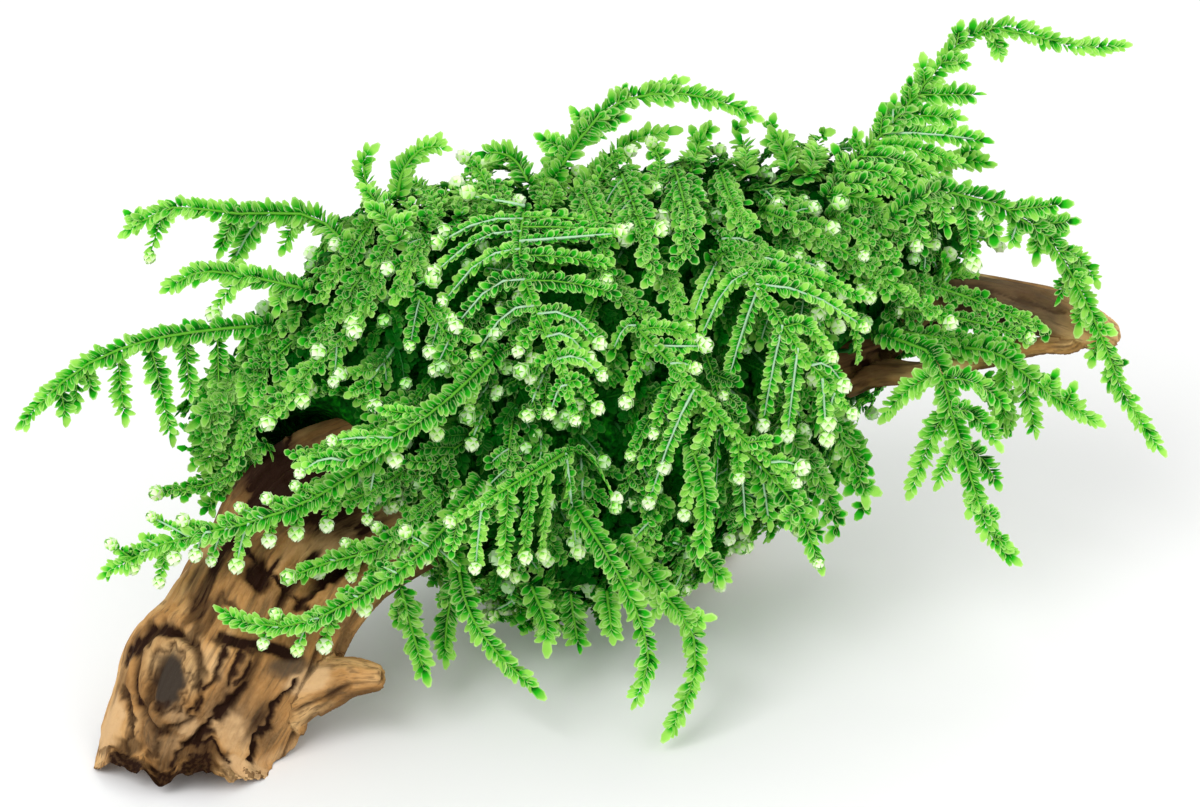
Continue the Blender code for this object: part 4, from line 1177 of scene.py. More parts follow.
def away_from_line(flat, line):
    """The distance of flat places from a row of points joined by straight lines."""
    line = np.array(line, float)
    best = np.full(len(flat), np.inf)
    for a, b in zip(line, line[1:]):
        along = np.clip((flat - a) @ (b - a) / ((b - a) @ (b - a)), 0, 1)
        best = np.minimum(best, np.linalg.norm(flat - a - along[:, None] * (b - a), axis=1))
    return best


def wood_marks(places, facing):
    """Height, darkness, paleness and greyness of the marks on the front of the wood, the darkness being
    mostly painted shade in cracks, hollows and sunken knot rings and under the moss. A crack's depth
    falls off as exp(-(away / half width) squared), as a ring of the knot does, and its darkness as
    exp(-(0.8 away / half width) to the fourth). A patch fades from 0.6 to 1.4 of its radius."""
    ragged = np.stack([
        waves(places, wavelength=2.4, seed=11),
        waves(places, wavelength=2.1, seed=12),
    ], axis=1)
    flat = places[:, :2] + MARK_WANDER * ragged
    height, dark, pale, grey = (np.zeros(len(places)) for _ in range(4))
    # A crack is carved, and painted dark as the shade in it.
    for half, depth, darkness, line in CRACKS:
        away = away_from_line(flat, line) / half
        height -= depth * np.exp(-(away**2))
        dark = np.maximum(dark, darkness * np.exp(-((0.8 * away) ** 4)))
    for *oval, depth, darkest, palest, greyest in PATCHES:
        inside = ease(1.7 - oval_radii(flat, *oval) * 1.2)
        height -= depth * inside
        dark = np.maximum(dark, darkest * inside)
        pale = np.maximum(pale, palest * inside)
        grey = np.maximum(grey, greyest * inside)
    out = np.linalg.norm((flat - KNOT_MIDDLE) / KNOT_HALF, axis=1) + 0.06 * ragged[:, 0]
    for radii, breadth, rise, darkness in KNOT_RINGS:
        ring = np.exp(-(((out - radii) / breadth) ** 2))
        height += rise * ring
        dark = np.maximum(dark, darkness * ring)
    return [mark * facing for mark in (height, dark, pale, grey)]


def wood_relief(grain, radius):
    """Height in millimetres of the unevenness of the wood: flutes, which are sines of the turn round a
    limb that drift along it and are lower on thin limbs, and lumps that are long with the grain."""
    angle = np.arctan2(grain[:, 2], grain[:, 1])
    drift = 0.9 * waves(grain * (0.12, 0.5, 0.5), wavelength=6.0, seed=21)
    flutes = sum(
        high * np.sin(turns * angle + twist * grain[:, 0] + phase + 2.2 * drift)
        for turns, high, twist, phase in FLUTES
    )
    large = waves(grain * (0.35, 1, 1), wavelength=5.0, seed=22)
    small = waves(grain * (0.15, 1, 1), wavelength=1.5, seed=23)
    lumps = 0.28 * large + 0.12 * small
    return flutes * np.clip(radius / THICK_LIMB, 0.35, 1.0) + lumps


def shade_wood(dark, pale, relief, normals, places, points):
    """The marks' darkness and paleness with four shades added to them, each by eased steps: painted
    shade in hollows and on undersides, painted shadow on the wood that lies high up under the moss,
    pale on the broken edge at the right of the trunk's end, and dark below a ragged line at the left of it."""
    # Painted shade in the hollows of the relief and on undersides.
    hollow_shade = 0.75 * ease((-relief - 0.12) / 0.45)
    under = 0.5 * ease((-normals[:, 2] - 0.1) / 0.6)
    dark = np.clip(np.maximum.reduce([dark, hollow_shade, under]), 0, 1)
    across, up = places[:, 0], places[:, 1]
    # Painted shadow of the moss on the wood that lies high up under it.
    moss_shadow = ease((up - 24) / 20) * ease((-10 - across) / 30)
    dark = np.clip(dark + 0.42 * moss_shadow, 0, 1)
    left = ease((BREAK_MIDDLE - across) / 2)
    edge = ease(1 - np.abs(points[:, 2] / MM - 1.2) / 2.4) * (across < -40)
    pale = np.clip(np.maximum(pale, 0.6 * edge * (1 - left)), 0, 1)
    ragged = waves(places, wavelength=2.5, seed=24)
    line = 4.0 + 2.6 * ease(np.abs(across + 65.5) / 2.5 - 1) + 0.8 * ragged
    below = ease((line - in_picture(points)[:, 1]) / 1.2) * ease((across + 74.5) / 1.5)
    return np.maximum(dark, 0.9 * below * left), pale


def build_driftwood():
    """One skin for all limbs, moved along its normals by its unevenness and its marks."""
    wood = bpy.context.scene.weeping_moss.wood
    mesh = joined_wood()
    points, normals = read_vertices(mesh, "co"), read_vertices(mesh, "normal")
    places = in_picture(points)
    grain, radius = limb_coordinates(places)
    relief = wood_relief(grain, radius)
    facing = ease(normals @ picture_axes()[:, 2] / 0.4)
    marks, dark, pale, grey = wood_marks(places, facing)
    height = wood.grain_height / MM / GRAIN_HEIGHT * relief + marks
    height *= ease(points[:, 2] / (1.5 * MM))
    points += normals * (height * MM)[:, None]
    points[:, 2] = np.maximum(points[:, 2], 0.0)
    broken_end(points, places)
    mesh.vertices.foreach_set("co", points.astype(np.float32).ravel())
    dark, pale = shade_wood(dark, pale, relief, normals, places, points)
    write_attributes(mesh, {"grain": grain, "dark": dark, "pale": pale, "grey": grey})
    mesh.materials.clear()
    mesh.materials.append(wood_material())
    mesh.update()
    mesh.shade_smooth()
    mesh.name = "driftwood"
    made = bpy.data.objects.new("driftwood", mesh)
    bpy.context.scene.collection.objects.link(made)
    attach(made, "root")
    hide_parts(*LIMBS)


# Moss


@dataclass
class Shoots:
    """Shoots that have the same number of path points: their paths and fronts, the scale of their
    leaves, the painted shade at each point (0 to 1), which is greater the deeper in the moss it is, how
    light each shoot is, how pale its stem is, which of them end in a bud, and half the width of their
    stems in millimetres."""

    path: np.ndarray
    front: np.ndarray
    leaf: np.ndarray
    shade: np.ndarray
    tone: np.ndarray
    rib: np.ndarray
    bud: np.ndarray
    stem: float


@dataclass
class Habit:
    """How branchlets grow from a stem: the gap between them in millimetres, how far they sag, how
    much they hang from a level stem, and the shares of them that have a bud and a pale stem."""

    gap: float
    sag: float
    hang: float
    buds: float
    ribs: float


def read_along(values, which, at):
    """Values given at each path point, read between them at the part at of the way along."""
    steps = values.shape[1] - 1
    place = np.clip(at, 0, 1) * steps
    low = np.minimum(place.astype(int), steps - 1)
    part = place - low
    if values.ndim == 3:
        part = part[:, None]
    return values[which, low] * (1 - part) + values[which, low + 1] * part


def along_shoots(shoots, which, at):
    """Places on the shoots, and the way, front and side there, square to each other."""
    tangent = unit(np.gradient(shoots.path, axis=1))
    place = read_along(shoots.path, which, at)
    way = unit(read_along(tangent, which, at))
    front = read_along(shoots.front, which, at)
    front = unit(front - dot(front, way) * way)
    return place, way, front, np.cross(way, front)


def path_lengths(path):
    return np.linalg.norm(np.diff(path, axis=1), axis=2).sum(axis=1)


def numbered(count):
    """For count[i] things on each shoot i: the shoot of each thing, and its number there."""
    which = np.repeat(np.arange(len(count)), count)
    return which, np.arange(len(which)) - np.repeat(np.cumsum(count) - count, count)


def copies(shape, faces, start, axes, size):
    """A shape put at many places: start + size (x a + y b + z c) for its points (x, y, z)."""
    a, b, c = (axis[:, None] for axis in axes)
    local = size[:, None, None] * shape
    points = start[:, None] + local[..., :1] * a + local[..., 1:2] * b + local[..., 2:] * c
    numbers = (np.arange(len(start)) * len(shape))[:, None, None]
    return points.reshape(-1, 3), (numbers + faces).reshape(-1, 3)


def leafy_part(shoots):
    """How much of the way along each shoot its rows of leaves take, so that the last leaf ends where
    the shoot does, or reaches its bud."""
    leaf = bpy.context.scene.weeping_moss.fronds.leaf_length / MM * shoots.leaf
    return np.where(shoots.bud, 1.0, np.clip(1 - leaf / path_lengths(shoots.path), 0.6, 1))


def place_leaves(shoots, rng, small):
    """Leaves along the shoots, turn about on the two hands, and one straight on at each tip.

    A leaf's own point (along, across, out) goes to place + size (along a + across b + out c), where
    a leans from the stem to its hand, c is the shoot's front turned by the leaf's roll, and b is
    square to both. A larger leaf is narrower for its length, leaves lean less toward the tip, and
    their lean, lift, roll, size and tone vary by the numbers that multiply the random ones."""
    moss = bpy.context.scene.weeping_moss.fronds
    rows = np.round(path_lengths(shoots.path) / (moss.leaf_gap / MM * shoots.leaf**0.3)).astype(int)
    count = 2 * np.maximum(2, rows)
    which, step = numbered(count)
    at = (step + 0.5) / count[which] * leafy_part(shoots)[which]
    last = step == count[which] - 1
    hand = np.where(step % 2, 1.0, -1.0)[:, None]
    lean_by, lift_by, roll_by, size_by, tone_by = rng.normal(size=(5, len(which)))
    place, way, front, side = along_shoots(shoots, which, at)
    lean = np.radians(moss.leaf_lean_degrees) * (1 - 0.40 * at**3) + 0.16 * lean_by
    lean = np.where(last, 0.0, lean)[:, None]
    lift = (LEAF_LIFT + 0.14 * lift_by)[:, None]
    a = unit(way * np.cos(lean) + hand * side * np.sin(lean) + front * lift)
    roll = (0.30 * roll_by)[:, None] - LEAF_ROLL * hand
    square = unit(np.cross(front, a))
    out = unit(np.cross(a, square))
    b = square * np.cos(roll) + out * np.sin(roll)
    slender = (0.8 + 0.2 * ease(at / 0.2)) * (1 - 0.22 * at**2) * np.where(last, TIP_LEAF, 1.0)
    size = moss.leaf_length / MM * shoots.leaf[which] * slender
    size *= np.clip(1 + 0.15 * size_by, 0.65, 1.35)
    shape, tones, rim, triangles = SMALL_LEAF if small else LEAF
    narrower = b / (shoots.leaf[which] ** 0.7)[:, None]
    points, faces = copies(shape, triangles, place, (a, narrower, np.cross(a, b)), size)
    # Tone rises toward the shoot's tip, partly its paler young growth and partly painted shade nearer its
    # base.
    tone = 0.7 * shoots.tone[which] + 0.35 * tone_by + 0.6 * at**2 - 0.2
    # Each leaf takes its shoot's painted shade at its place.
    shade = np.clip(read_along(shoots.shade, which, at), 0, 1)
    return points, faces, {
        "tone": (tones + tone[:, None]).ravel(),
        "rim": (rim + (0.05 * lift_by)[:, None]).ravel(),
        "shade": np.repeat(shade, len(shape)),
    }


def place_stems(shoots, rings, sides):
    """Closed tubes along the shoots, on their fronts, whose radius falls evenly toward the tip."""
    total = len(shoots.path)
    which = np.repeat(np.arange(total), rings)
    at = (leafy_part(shoots)[:, None] * np.linspace(0.0, STEM_PART, rings)).ravel()
    place, way, front, side = along_shoots(shoots, which, at)
    broad = shoots.stem * (1 + 0.6 * np.repeat(shoots.rib, rings))
    radius = (broad * (1 - STEM_TAPER * at))[:, None]
    middle = place + front * STEM_RISE
    turn = (np.arange(sides) * 2 * math.pi / sides + math.pi / 2)[None, :, None]
    ring = side[:, None] * np.cos(turn) + front[:, None] * np.sin(turn)
    ring = middle[:, None] + ring * radius[:, None]
    middle, way = middle.reshape(total, rings, 3), way.reshape(total, rings, 3)
    base = middle[:, :1] - way[:, :1] * 0.1
    tip = middle[:, -1:] + way[:, -1:] * 0.25
    points = np.concatenate([ring.reshape(total, -1, 3), base, tip], axis=1)
    each = points.shape[1]
    faces = (np.arange(total) * each)[:, None, None] + tube_faces(rings, sides)[:, ::-1]
    # Each ring of a stem takes its shoot's painted shade there.
    shade = read_along(shoots.shade, which, at).reshape(total, rings)
    shade = np.hstack([np.repeat(shade, sides, axis=1), shade[:, :1], shade[:, -1:]])
    return points.reshape(-1, 3), faces.reshape(-1, 3), {
        "tone": np.zeros(total * each),
        "rim": np.repeat(shoots.rib, each),
        "shade": np.clip(shade, 0, 1).ravel(),
    }


def ball_patch(turns, angles, radius):
    """Points radius (cos turn, sin turn cos angle, sin turn sin angle), turn being from the tip."""
    flat = radius * np.sin(turns)
    return np.stack([radius * np.cos(turns), flat * np.cos(angles), flat * np.sin(angles)], axis=-1)


def bud_shape():
    """A bud of closed leaves: a ball under whorls of scales, each a patch of the ball whose tip lifts
    off it. Returns its points, faces and rim values, which rise to the scales' tips."""
    turns = np.linspace(0, math.pi, BALL_RINGS + 2)[1:-1]
    angles = np.arange(BALL_SIDES) * 2 * math.pi / BALL_SIDES
    ball = ball_patch(*np.meshgrid(turns, angles, indexing="ij"), BALL_RADIUS).reshape(-1, 3)
    ball = np.vstack([ball, [(BALL_RADIUS, 0, 0), (-BALL_RADIUS, 0, 0)]])
    parts, rims = [(ball, tube_faces(BALL_RINGS, BALL_SIDES))], [np.full(len(ball), 0.35)]
    nearer, across, radius, rim = BUD_SCALE.T
    for whorl, start in enumerate(np.radians(BUD_WHORLS)):
        for angle in (np.arange(5) + 0.5 * whorl) * 2 * math.pi / 5:
            scale = ball_patch(start - np.radians(nearer), angle + across, radius)
            parts.append((scale, np.array(((0, 1, 2), (0, 2, 3), (3, 2, 4)))))
            rims.append(rim)
    points, faces = joined(parts)
    corners = points[faces]
    normal = np.cross(corners[:, 1] - corners[:, 0], corners[:, 2] - corners[:, 0])
    inward = (normal * corners.mean(axis=1)).sum(axis=1) < 0
    faces[inward] = faces[inward, ::-1]
    return points, faces, np.concatenate(rims)


def place_buds(shoots, rng):
    """A bud at the tip of each shoot that ends in one."""
    moss = bpy.context.scene.weeping_moss.fronds
    chosen = np.flatnonzero(shoots.bud)
    shape, triangles, rim = bud_shape()
    way = unit(shoots.path[chosen, -1] - shoots.path[chosen, -2])
    front = unit(shoots.front[chosen, -1])
    axis = unit(way + 0.6 * front)
    side = unit(np.cross(axis, front))
    size = moss.bud_width / MM / 2 * rng.uniform(0.75, 1.15, len(chosen))
    start = shoots.path[chosen, -1] + front * 0.5 + way * 0.5
    points, faces = copies(shape, triangles, start, (axis, side, np.cross(axis, side)), size)
    lighter = rng.uniform(-0.2, 0.15, len(chosen))
    # A bud takes part of the painted shade at its shoot's tip.
    return points, faces, {
        "tone": (2 * rim - 1 + lighter[:, None]).ravel(),
        "rim": (rim + lighter[:, None]).ravel(),
        "shade": np.repeat(0.4 * shoots.shade[chosen, -1], len(shape)),
    }


def branchlets_of(stems, left, right, rng, envelope, habit):
    """Branchlets on both hands of the stems.

    A branchlet's points are start + length (s reach + sag s s down), for s from 0 to 1, where reach
    leans from the stem to its hand, and is drawn down where the stem is level. Its place, length,
    lean, lift, bend and tone vary by random numbers, a longer one has larger leaves, and all take
    their stem's painted shade, with more of it at their roots."""
    moss = bpy.context.scene.weeping_moss.fronds
    count = np.maximum(1, np.round(path_lengths(stems.path) / habit.gap).astype(int))
    parts = []
    for hand, first, longest in ((-1.0, 0.3, left), (1.0, 0.8, right)):
        which, step = numbered(count)
        at = (step + first + rng.uniform(-0.18, 0.18, len(which))) / count[which]
        parts.append((which, at, np.full(len(which), hand), longest[which]))
    which, at, hand, longest = (np.concatenate(column) for column in zip(*parts))
    total = len(which)
    size = longest * envelope(at) * np.clip(1 + 0.24 * rng.normal(size=total), 0.45, 1.4)
    start, way, front, side = along_shoots(stems, which, at)
    lean = (np.radians(moss.branchlet_lean_degrees) + 0.14 * rng.normal(size=total))[:, None]
    level = 1 - np.abs(way @ DOWN)[:, None]
    lifted = front * (0.08 + 0.12 * rng.normal(size=total))[:, None]
    reach = unit(way * np.cos(lean) + hand[:, None] * side * np.sin(lean) + lifted)
    reach = unit(reach + habit.hang * level * DOWN)
    s = np.linspace(0, 1, GROWN_POINTS)[None, :, None]
    bend = rng.normal(size=total)[:, None, None] * 0.10 * np.cross(reach, front)[:, None]
    down = habit.sag * DOWN
    offset = s * reach[:, None] + s**2 * (down + bend) + 0.06 * np.sin(math.pi * s) * front[:, None]
    offset /= np.linalg.norm(reach + down, axis=1)[:, None, None] ** 0.5
    # Painted shade: the stem's shade there, deepest at the branchlet's root.
    shade = read_along(stems.shade, which, at)[:, None] + 0.2 * (1 - s[:, :, 0]) ** 2
    ribbed = (rng.uniform(size=total) < habit.ribs) & (size > LEAST_RIBBED)
    return Shoots(
        path=start[:, None] + size[:, None, None] * offset,
        front=np.repeat(front[:, None], GROWN_POINTS, axis=1),
        leaf=stems.leaf[which] * np.clip(0.75 + size / 16, 0.8, 1.1),
        shade=np.clip(shade, 0, 1),
        tone=np.clip(stems.tone[which] + 0.25 * rng.normal(size=total), -1, 1),
        rib=np.where(ribbed, PALE_RIB, 0.0),
        bud=(rng.uniform(size=total) < habit.buds) & (size > LEAST_BUDDED),
        stem=0.14,
    )


def drawn_branchlets(stems, rows, rng, habit, leaf):
    """The branchlets of one stem whose tips are given: start + s offset + bow s (1 - s), for s from 0
    to 1, where the bow is highest on a branchlet that goes out as far as down, and a branchlet that
    hangs does so straight down."""
    at, across, up = np.array(rows, float).T
    total = len(at)
    start, _, front, _ = along_shoots(stems, np.zeros(total, int), at)
    fall = np.minimum(up, 0) * DOWN[2] / DOWN[1]
    offset = np.stack([across, up, fall + rng.uniform(-1, 1, total)], axis=1)
    size = np.linalg.norm(offset, axis=1)
    bow = 3.0 * np.abs(across) * np.clip(-up, 0, None) / size**2 * np.minimum(size, 8)
    s = np.linspace(0, 1, DRAWN_POINTS)[None, :, None]
    return Shoots(
        path=start[:, None] + s * offset[:, None] - s * (1 - s) * bow[:, None, None] * DOWN,
        front=np.repeat(front[:, None], DRAWN_POINTS, axis=1),
        leaf=leaf * np.clip(0.85 + size / 40, 0.9, 1.15),
        shade=np.zeros((total, DRAWN_POINTS)),
        tone=np.clip(stems.tone[0] + 0.4 * rng.normal(size=total), -1, 1),
        rib=np.where(rng.uniform(size=total) < habit.ribs, PALE_RIB, 0.0),
        bud=rng.uniform(size=total) < habit.buds,
        stem=0.20,
    )


def assemble(name, parts, replaced):
    """One piece from leaves, stems and buds, each (points, faces, attributes, material slot)."""
    points, faces = joined([part[:2] for part in parts])
    slots = np.concatenate([np.full(len(triangles), slot) for _, triangles, _, slot in parts])
    attributes = {
        key: np.concatenate([values[key] for _, _, values, _ in parts])
        for key in ("tone", "rim", "shade")
    }
    made = mesh_object(name, in_space(points), faces, moss_materials(), slots, attributes)
    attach(made, "root")
    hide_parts(*replaced)


def leafy(stems, branchlets, rng, small=False):
    """The leaves, stems and buds of these stems and, if they have them, of their branchlets."""
    parts = []
    for shoots, (rings, sides) in zip((stems, branchlets), STEM_TUBES):
        if shoots is not None:
            parts.append((*place_leaves(shoots, rng, small), 0))
            parts.append((*place_stems(shoots, rings, sides), 1))
            parts.append((*place_buds(shoots, rng), 2))
    return parts


def narrowing(at):
    """How long a branchlet of a long frond is, by its place along the stem."""
    return 0.25 + 0.75 * np.clip(1 - at, 0, 1) ** 0.9


def frond_parts(left, right, stem, rng, facing, habit, leaf, stem_leaf, rows=None):
    """The leaves, stems and buds of one frond that is rooted on the cushion or the wood. Its
    branchlets are drawn from rows if it has them, and grown if it has none; with an empty row it is
    a plain ribbon."""
    moss = bpy.context.scene.weeping_moss.fronds
    clearance = STEM_CLEARANCE + (DRAWN_RISE if rows else 0.0)
    root = clear_of_cushion(stem[:1], clearance, facing, on_it=True)
    path = clear_of_cushion(smooth_path([*root, *stem[1:]], STEM_POINTS), clearance, facing)
    inward = np.array(root[0]) - (0, 0, facing * ROOT_DEPTH)
    path = np.vstack([inward, path])[None]
    # The stem is painted darker near its root, as shade where it comes out of the moss.
    stems = Shoots(
        path=path,
        front=section_frames(path)[2] * facing,
        leaf=np.array([stem_leaf]),
        shade=np.linspace(0.3, 0.0, path.shape[1])[None],
        tone=np.array([rng.uniform(-0.1, 0.5) + (0.35 if habit.hang > 0.5 else 0.0)]),
        rib=np.array([0.0]),
        bud=np.array([rng.uniform() < habit.buds]),
        stem=moss.stem_width / MM / 2 * FROND_STEM,
    )
    branchlets = None
    if rows:
        branchlets = drawn_branchlets(stems, rows, rng, habit, leaf)
        branchlets.path = clear_of_cushion(branchlets.path, STEM_CLEARANCE, facing)
    elif rows is None:
        hands = np.array((left, right) if facing > 0 else (right, left), float)
        branchlets = branchlets_of(stems, hands[:1], hands[1:], rng, narrowing, habit)
        branchlets.path = clear_of_cushion(branchlets.path, GROWN_CLEARANCE, facing)
    return leafy(stems, branchlets, rng)


def build_frond(name, seed):
    """One of the fronds that stand out of the moss, along the stem of its node. Those on the front of
    the moss and on the trunk hang less, and have more buds and pale stems."""
    moss = bpy.context.scene.weeping_moss.fronds
    left, right, stem = FRONDS[name]
    in_front, on_trunk = "front" in name, "trunk" in name
    on_mass = in_front or on_trunk or "comb" in name or "bottom_right" in name
    habit = Habit(
        gap=moss.branchlet_gap / MM,
        sag=0.22,
        hang=0.2 if on_mass else 0.8,
        buds=0.8 if in_front or on_trunk else 0.06,
        ribs=0.5 if on_mass else 0.05,
    )
    parts = frond_parts(
        left,
        right,
        stem,
        np.random.default_rng(seed),
        facing=-1 if "back" in name else 1,
        habit=habit,
        leaf=1.15 if in_front else 1.1 if on_trunk else 1.4,
        stem_leaf=1.1 if in_front else 1.75,
        rows=SIDE_SHOOTS.get(name),
    )
    assemble(name.replace("frond", "mossy_frond"), parts, (name,))


def build_creeping_shoots():
    """The small shoots that spread from the cushion over the wood beside it."""
    rng = np.random.default_rng(CREEPING_SEED)
    habit = Habit(gap=2.6, sag=0.2, hang=0.3, buds=0.25, ribs=0.2)
    parts = []
    for left, right, stem in CREEPING_SHOOTS:
        parts += frond_parts(
            left, right, stem, rng, facing=1, habit=habit, leaf=0.9, stem_leaf=1.1
        )
    assemble("moss_creeping", parts, ("moss_cushion",))


def cushion_roots(count, rng):
    """Places spread evenly over the cushion, each the farthest of many tries from those before."""
    across = rng.uniform(CUSHION[0, 0] - 1, CUSHION[-1, 0], ROOT_TRIES)
    turn = rng.uniform(0, 2 * math.pi, ROOT_TRIES)
    up, toward, high, deep = cushion_sections(across)
    place = np.stack([across, up + high * np.cos(turn), toward + deep * np.sin(turn)], axis=1)
    keep = rng.uniform(size=ROOT_TRIES) < (high + deep) / FULL_SECTION
    place = place[keep]
    chosen = [0]
    gap = np.linalg.norm(place - place[0], axis=1)
    for _ in range(count - 1):
        chosen.append(int(gap.argmax()))
        gap = np.minimum(gap, np.linalg.norm(place - place[chosen[-1]], axis=1))
    return place[chosen]


def cushion_stems(layer, rng):
    """The stems of one layer of the cushion's shoots: each starts inside, leans out and away from the
    crown, and hangs over the ones below it. Those on top are shorter.

    At each step the way turns by a part of (away from the crown, along the surface) and of down,
    and back in where it is too high, and a point that is too deep moves out along the cushion's
    normal."""
    moss = bpy.context.scene.weeping_moss
    roots = cushion_roots(layer.shoots, rng)
    count = len(roots)
    depth = moss.cushion.layer_depth / MM
    _, outward = cushion_level(roots)
    place = roots - outward * depth
    flat = (roots[:, :2] - CROWN) * (1.0, 0.75) + (0.0, -7.0)
    heading = unit(np.hstack([flat, np.zeros((count, 1))]))
    heading = heading + layer.wildness * rng.normal(size=(count, 3)) * (1, 1, 0.4)
    heading = unit(heading - dot(heading, outward) * outward)
    length = layer.length * rng.uniform(0.65, 1.3, count)
    top = ease((outward[:, 1] - 0.80) / 0.2)
    length *= 1 - 0.35 * top
    wanted_end = rng.uniform(*layer.ends, count)
    way = unit(heading * (1 - 0.45 * top[:, None]) + outward * (0.8 + 0.5 * top[:, None]))
    path, fronts, levels = [place], [outward], [np.full(count, -depth)]
    for step in range(1, SHOOT_POINTS):
        part = step / (SHOOT_POINTS - 1)
        place = place + way * (length / (SHOOT_POINTS - 1))[:, None]
        level, outward = cushion_level(place)
        wanted = -depth + (depth + wanted_end) * ease(part * 1.3)
        place = place + outward * np.clip(wanted - level, -0.5, 1.6)[:, None]
        place = clear_of_wood(place, clearance=1.0)
        along = unit(heading - dot(heading, outward) * outward)
        down = unit(DOWN - dot(DOWN, outward) * outward * 0.6)
        high = np.clip((level - wanted_end + 0.5) / 4, 0, 1)[:, None]
        way = unit(way + 0.32 * along + (0.10 + 0.22 * part) * down - 0.5 * high * outward)
        path.append(place)
        fronts.append(outward)
        levels.append(np.minimum(level, 3))
    path, fronts, levels = (np.stack(rows, axis=1) for rows in (path, fronts, levels))
    fronts = fronts + layer.twist * rng.normal(size=(count, 1, 3))
    # Painted shade: points deeper in the cushion are darker, so the low layer is darker, with slow patches of
    # more and less shade.
    shade = 1.3 * (0.9 - levels) / (depth + 0.4) + 0.22 * waves(path, wavelength=26.0, seed=31)
    lightness = 0.35 * waves(roots, wavelength=30.0, seed=32)
    return Shoots(
        path=path,
        front=unit(fronts),
        leaf=rng.uniform(0.85, 1.1, count),
        shade=np.clip(shade, 0, 0.95),
        tone=np.clip(lightness + 0.3 * rng.normal(size=count), -1, 1),
        rib=np.where(rng.uniform(size=count) < 0.3, PALE_RIB, 0.0),
        bud=rng.uniform(size=count) < 2 * layer.buds,
        stem=moss.fronds.stem_width / MM / 2,
    )


def cushion_regions(roots):
    """The name of each part of the cushion and which roots it has, by their place across and by their
    turn in degrees round its sections, 0 being up and 90 toward the eye."""
    up, toward, high, deep = cushion_sections(roots[:, 0])
    turn = np.degrees(np.arctan2((roots[:, 2] - toward) / deep, (roots[:, 1] - up) / high))
    front = (turn > 32) & (turn < 142)
    back = (turn < -40) & (turn > -142)
    top = (turn >= -40) & (turn <= 32)
    across = roots[:, 0]
    return {
        "moss_front_left": front & (across < -14),
        "moss_front_middle": front & (across >= -14) & (across < 16),
        "moss_front_right": front & (across >= 16),
        "moss_top": top,
        "moss_back_left": back & (across < -2),
        "moss_back_right": back & (across >= -2),
        "moss_underside": ~front & ~back & ~top,
    }


def pick(shoots, chosen):
    """The chosen ones of the shoots."""
    return replace(shoots, **{
        name: values[chosen] for name, values in vars(shoots).items() if name != "stem"
    })


def short_ended(at):
    """How long a branchlet of the cushion is, by its place along the stem."""
    return (0.4 + 0.6 * ease(at / 0.25)) * (1 - 0.7 * np.clip(at, 0, 1) ** 1.6)


def build_cushion_shoots():
    """The cushion's shoots: in each region a low layer of wild short ones and one of long ones. Most
    stems that lie in a clearing are left out, as are branchlets that reach into one, or that the
    wood has torn, with a long step in their outer half."""
    cushion = bpy.context.scene.weeping_moss.cushion
    rng = np.random.default_rng(cushion.seed)
    pieces = {}
    for layer in LAYERS:
        stems = cushion_stems(layer, rng)
        for name, chosen in cushion_regions(stems.path[:, ROOTED_POINT]).items():
            if not chosen.any():
                raise RuntimeError(f"no shoots grow in {name}")
            group = pick(stems, chosen & ((in_clearing(stems.path) > 0).mean(axis=1) < 0.3))
            seen = "front" in name or "top" in name
            longest = layer.branchlet * rng.uniform(0.75, 1.25, (2, len(group.path)))
            habit = Habit(
                gap=layer.gap if seen else 1.3 * layer.gap,
                sag=0.18,
                hang=0.2,
                buds=layer.buds if seen else 0.5 * layer.buds,
                ribs=layer.ribs,
            )
            branchlets = branchlets_of(group, *longest, rng, short_ended, habit)
            level, outward = cushion_level(branchlets.path)
            wanted = layer.ends[0] - 1.2
            branchlets.path += outward * np.clip(wanted - level, 0, 2.5)[..., None]
            branchlets.path = clear_of_wood(branchlets.path, clearance=0.8)
            steps = np.linalg.norm(np.diff(branchlets.path, axis=1), axis=-1)
            whole = steps[:, steps.shape[1] // 2:].max(axis=1) < TORN_STEP
            branchlets = pick(branchlets, whole & (in_clearing(branchlets.path).max(axis=1) <= 0))
            small = layer.low or not seen
            pieces.setdefault(name, []).extend(leafy(group, branchlets, rng, small))
    for name, parts in pieces.items():
        assemble(name, parts, ("moss_cushion",))


def build_mat():
    """The inside of the cushion, a dark mesh painted as the shade deep in the moss: its sections drawn
    in by the layer depth and closed over five rings at each end, with large and small lumps, and
    pushed back in the clearings."""
    moss = bpy.context.scene.weeping_moss
    depth = moss.cushion.layer_depth / MM + 0.6
    across = np.linspace(CUSHION[0, 0] + depth, CUSHION[-1, 0] - depth, MAT_RINGS)
    turns = np.arange(MAT_SIDES) * 2 * math.pi / MAT_SIDES
    up, toward, high, deep = (column[:, None] for column in cushion_sections(across))
    from_end = np.minimum(np.arange(MAT_RINGS), np.arange(MAT_RINGS)[::-1])[:, None]
    closing = np.sqrt(np.clip(from_end / 5, 0.03, 1))
    high, deep = np.maximum(high - depth, 1) * closing, np.maximum(deep - depth, 1) * closing
    places = np.stack(np.broadcast_arrays(
        across[:, None], up + high * np.cos(turns), toward + deep * np.sin(turns)
    ), axis=-1).reshape(-1, 3)
    _, outward = cushion_level(places)
    large = waves(places, wavelength=7.0, seed=41)
    small = waves(places, wavelength=2.6, seed=42)
    places = places + outward * (0.8 * large + 0.5 * small)[:, None]
    places[:, 2] -= CLEARING_DEPTH * ease(in_clearing(places) / 0.4)
    places = np.vstack([places, places[:MAT_SIDES].mean(axis=0), places[-MAT_SIDES:].mean(axis=0)])
    faces = tube_faces(MAT_RINGS, MAT_SIDES)[:, ::-1]
    made = mesh_object("moss_mat", in_space(places), faces, (mat_material(),))
    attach(made, "root")
    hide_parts("moss_cushion")


# Stage


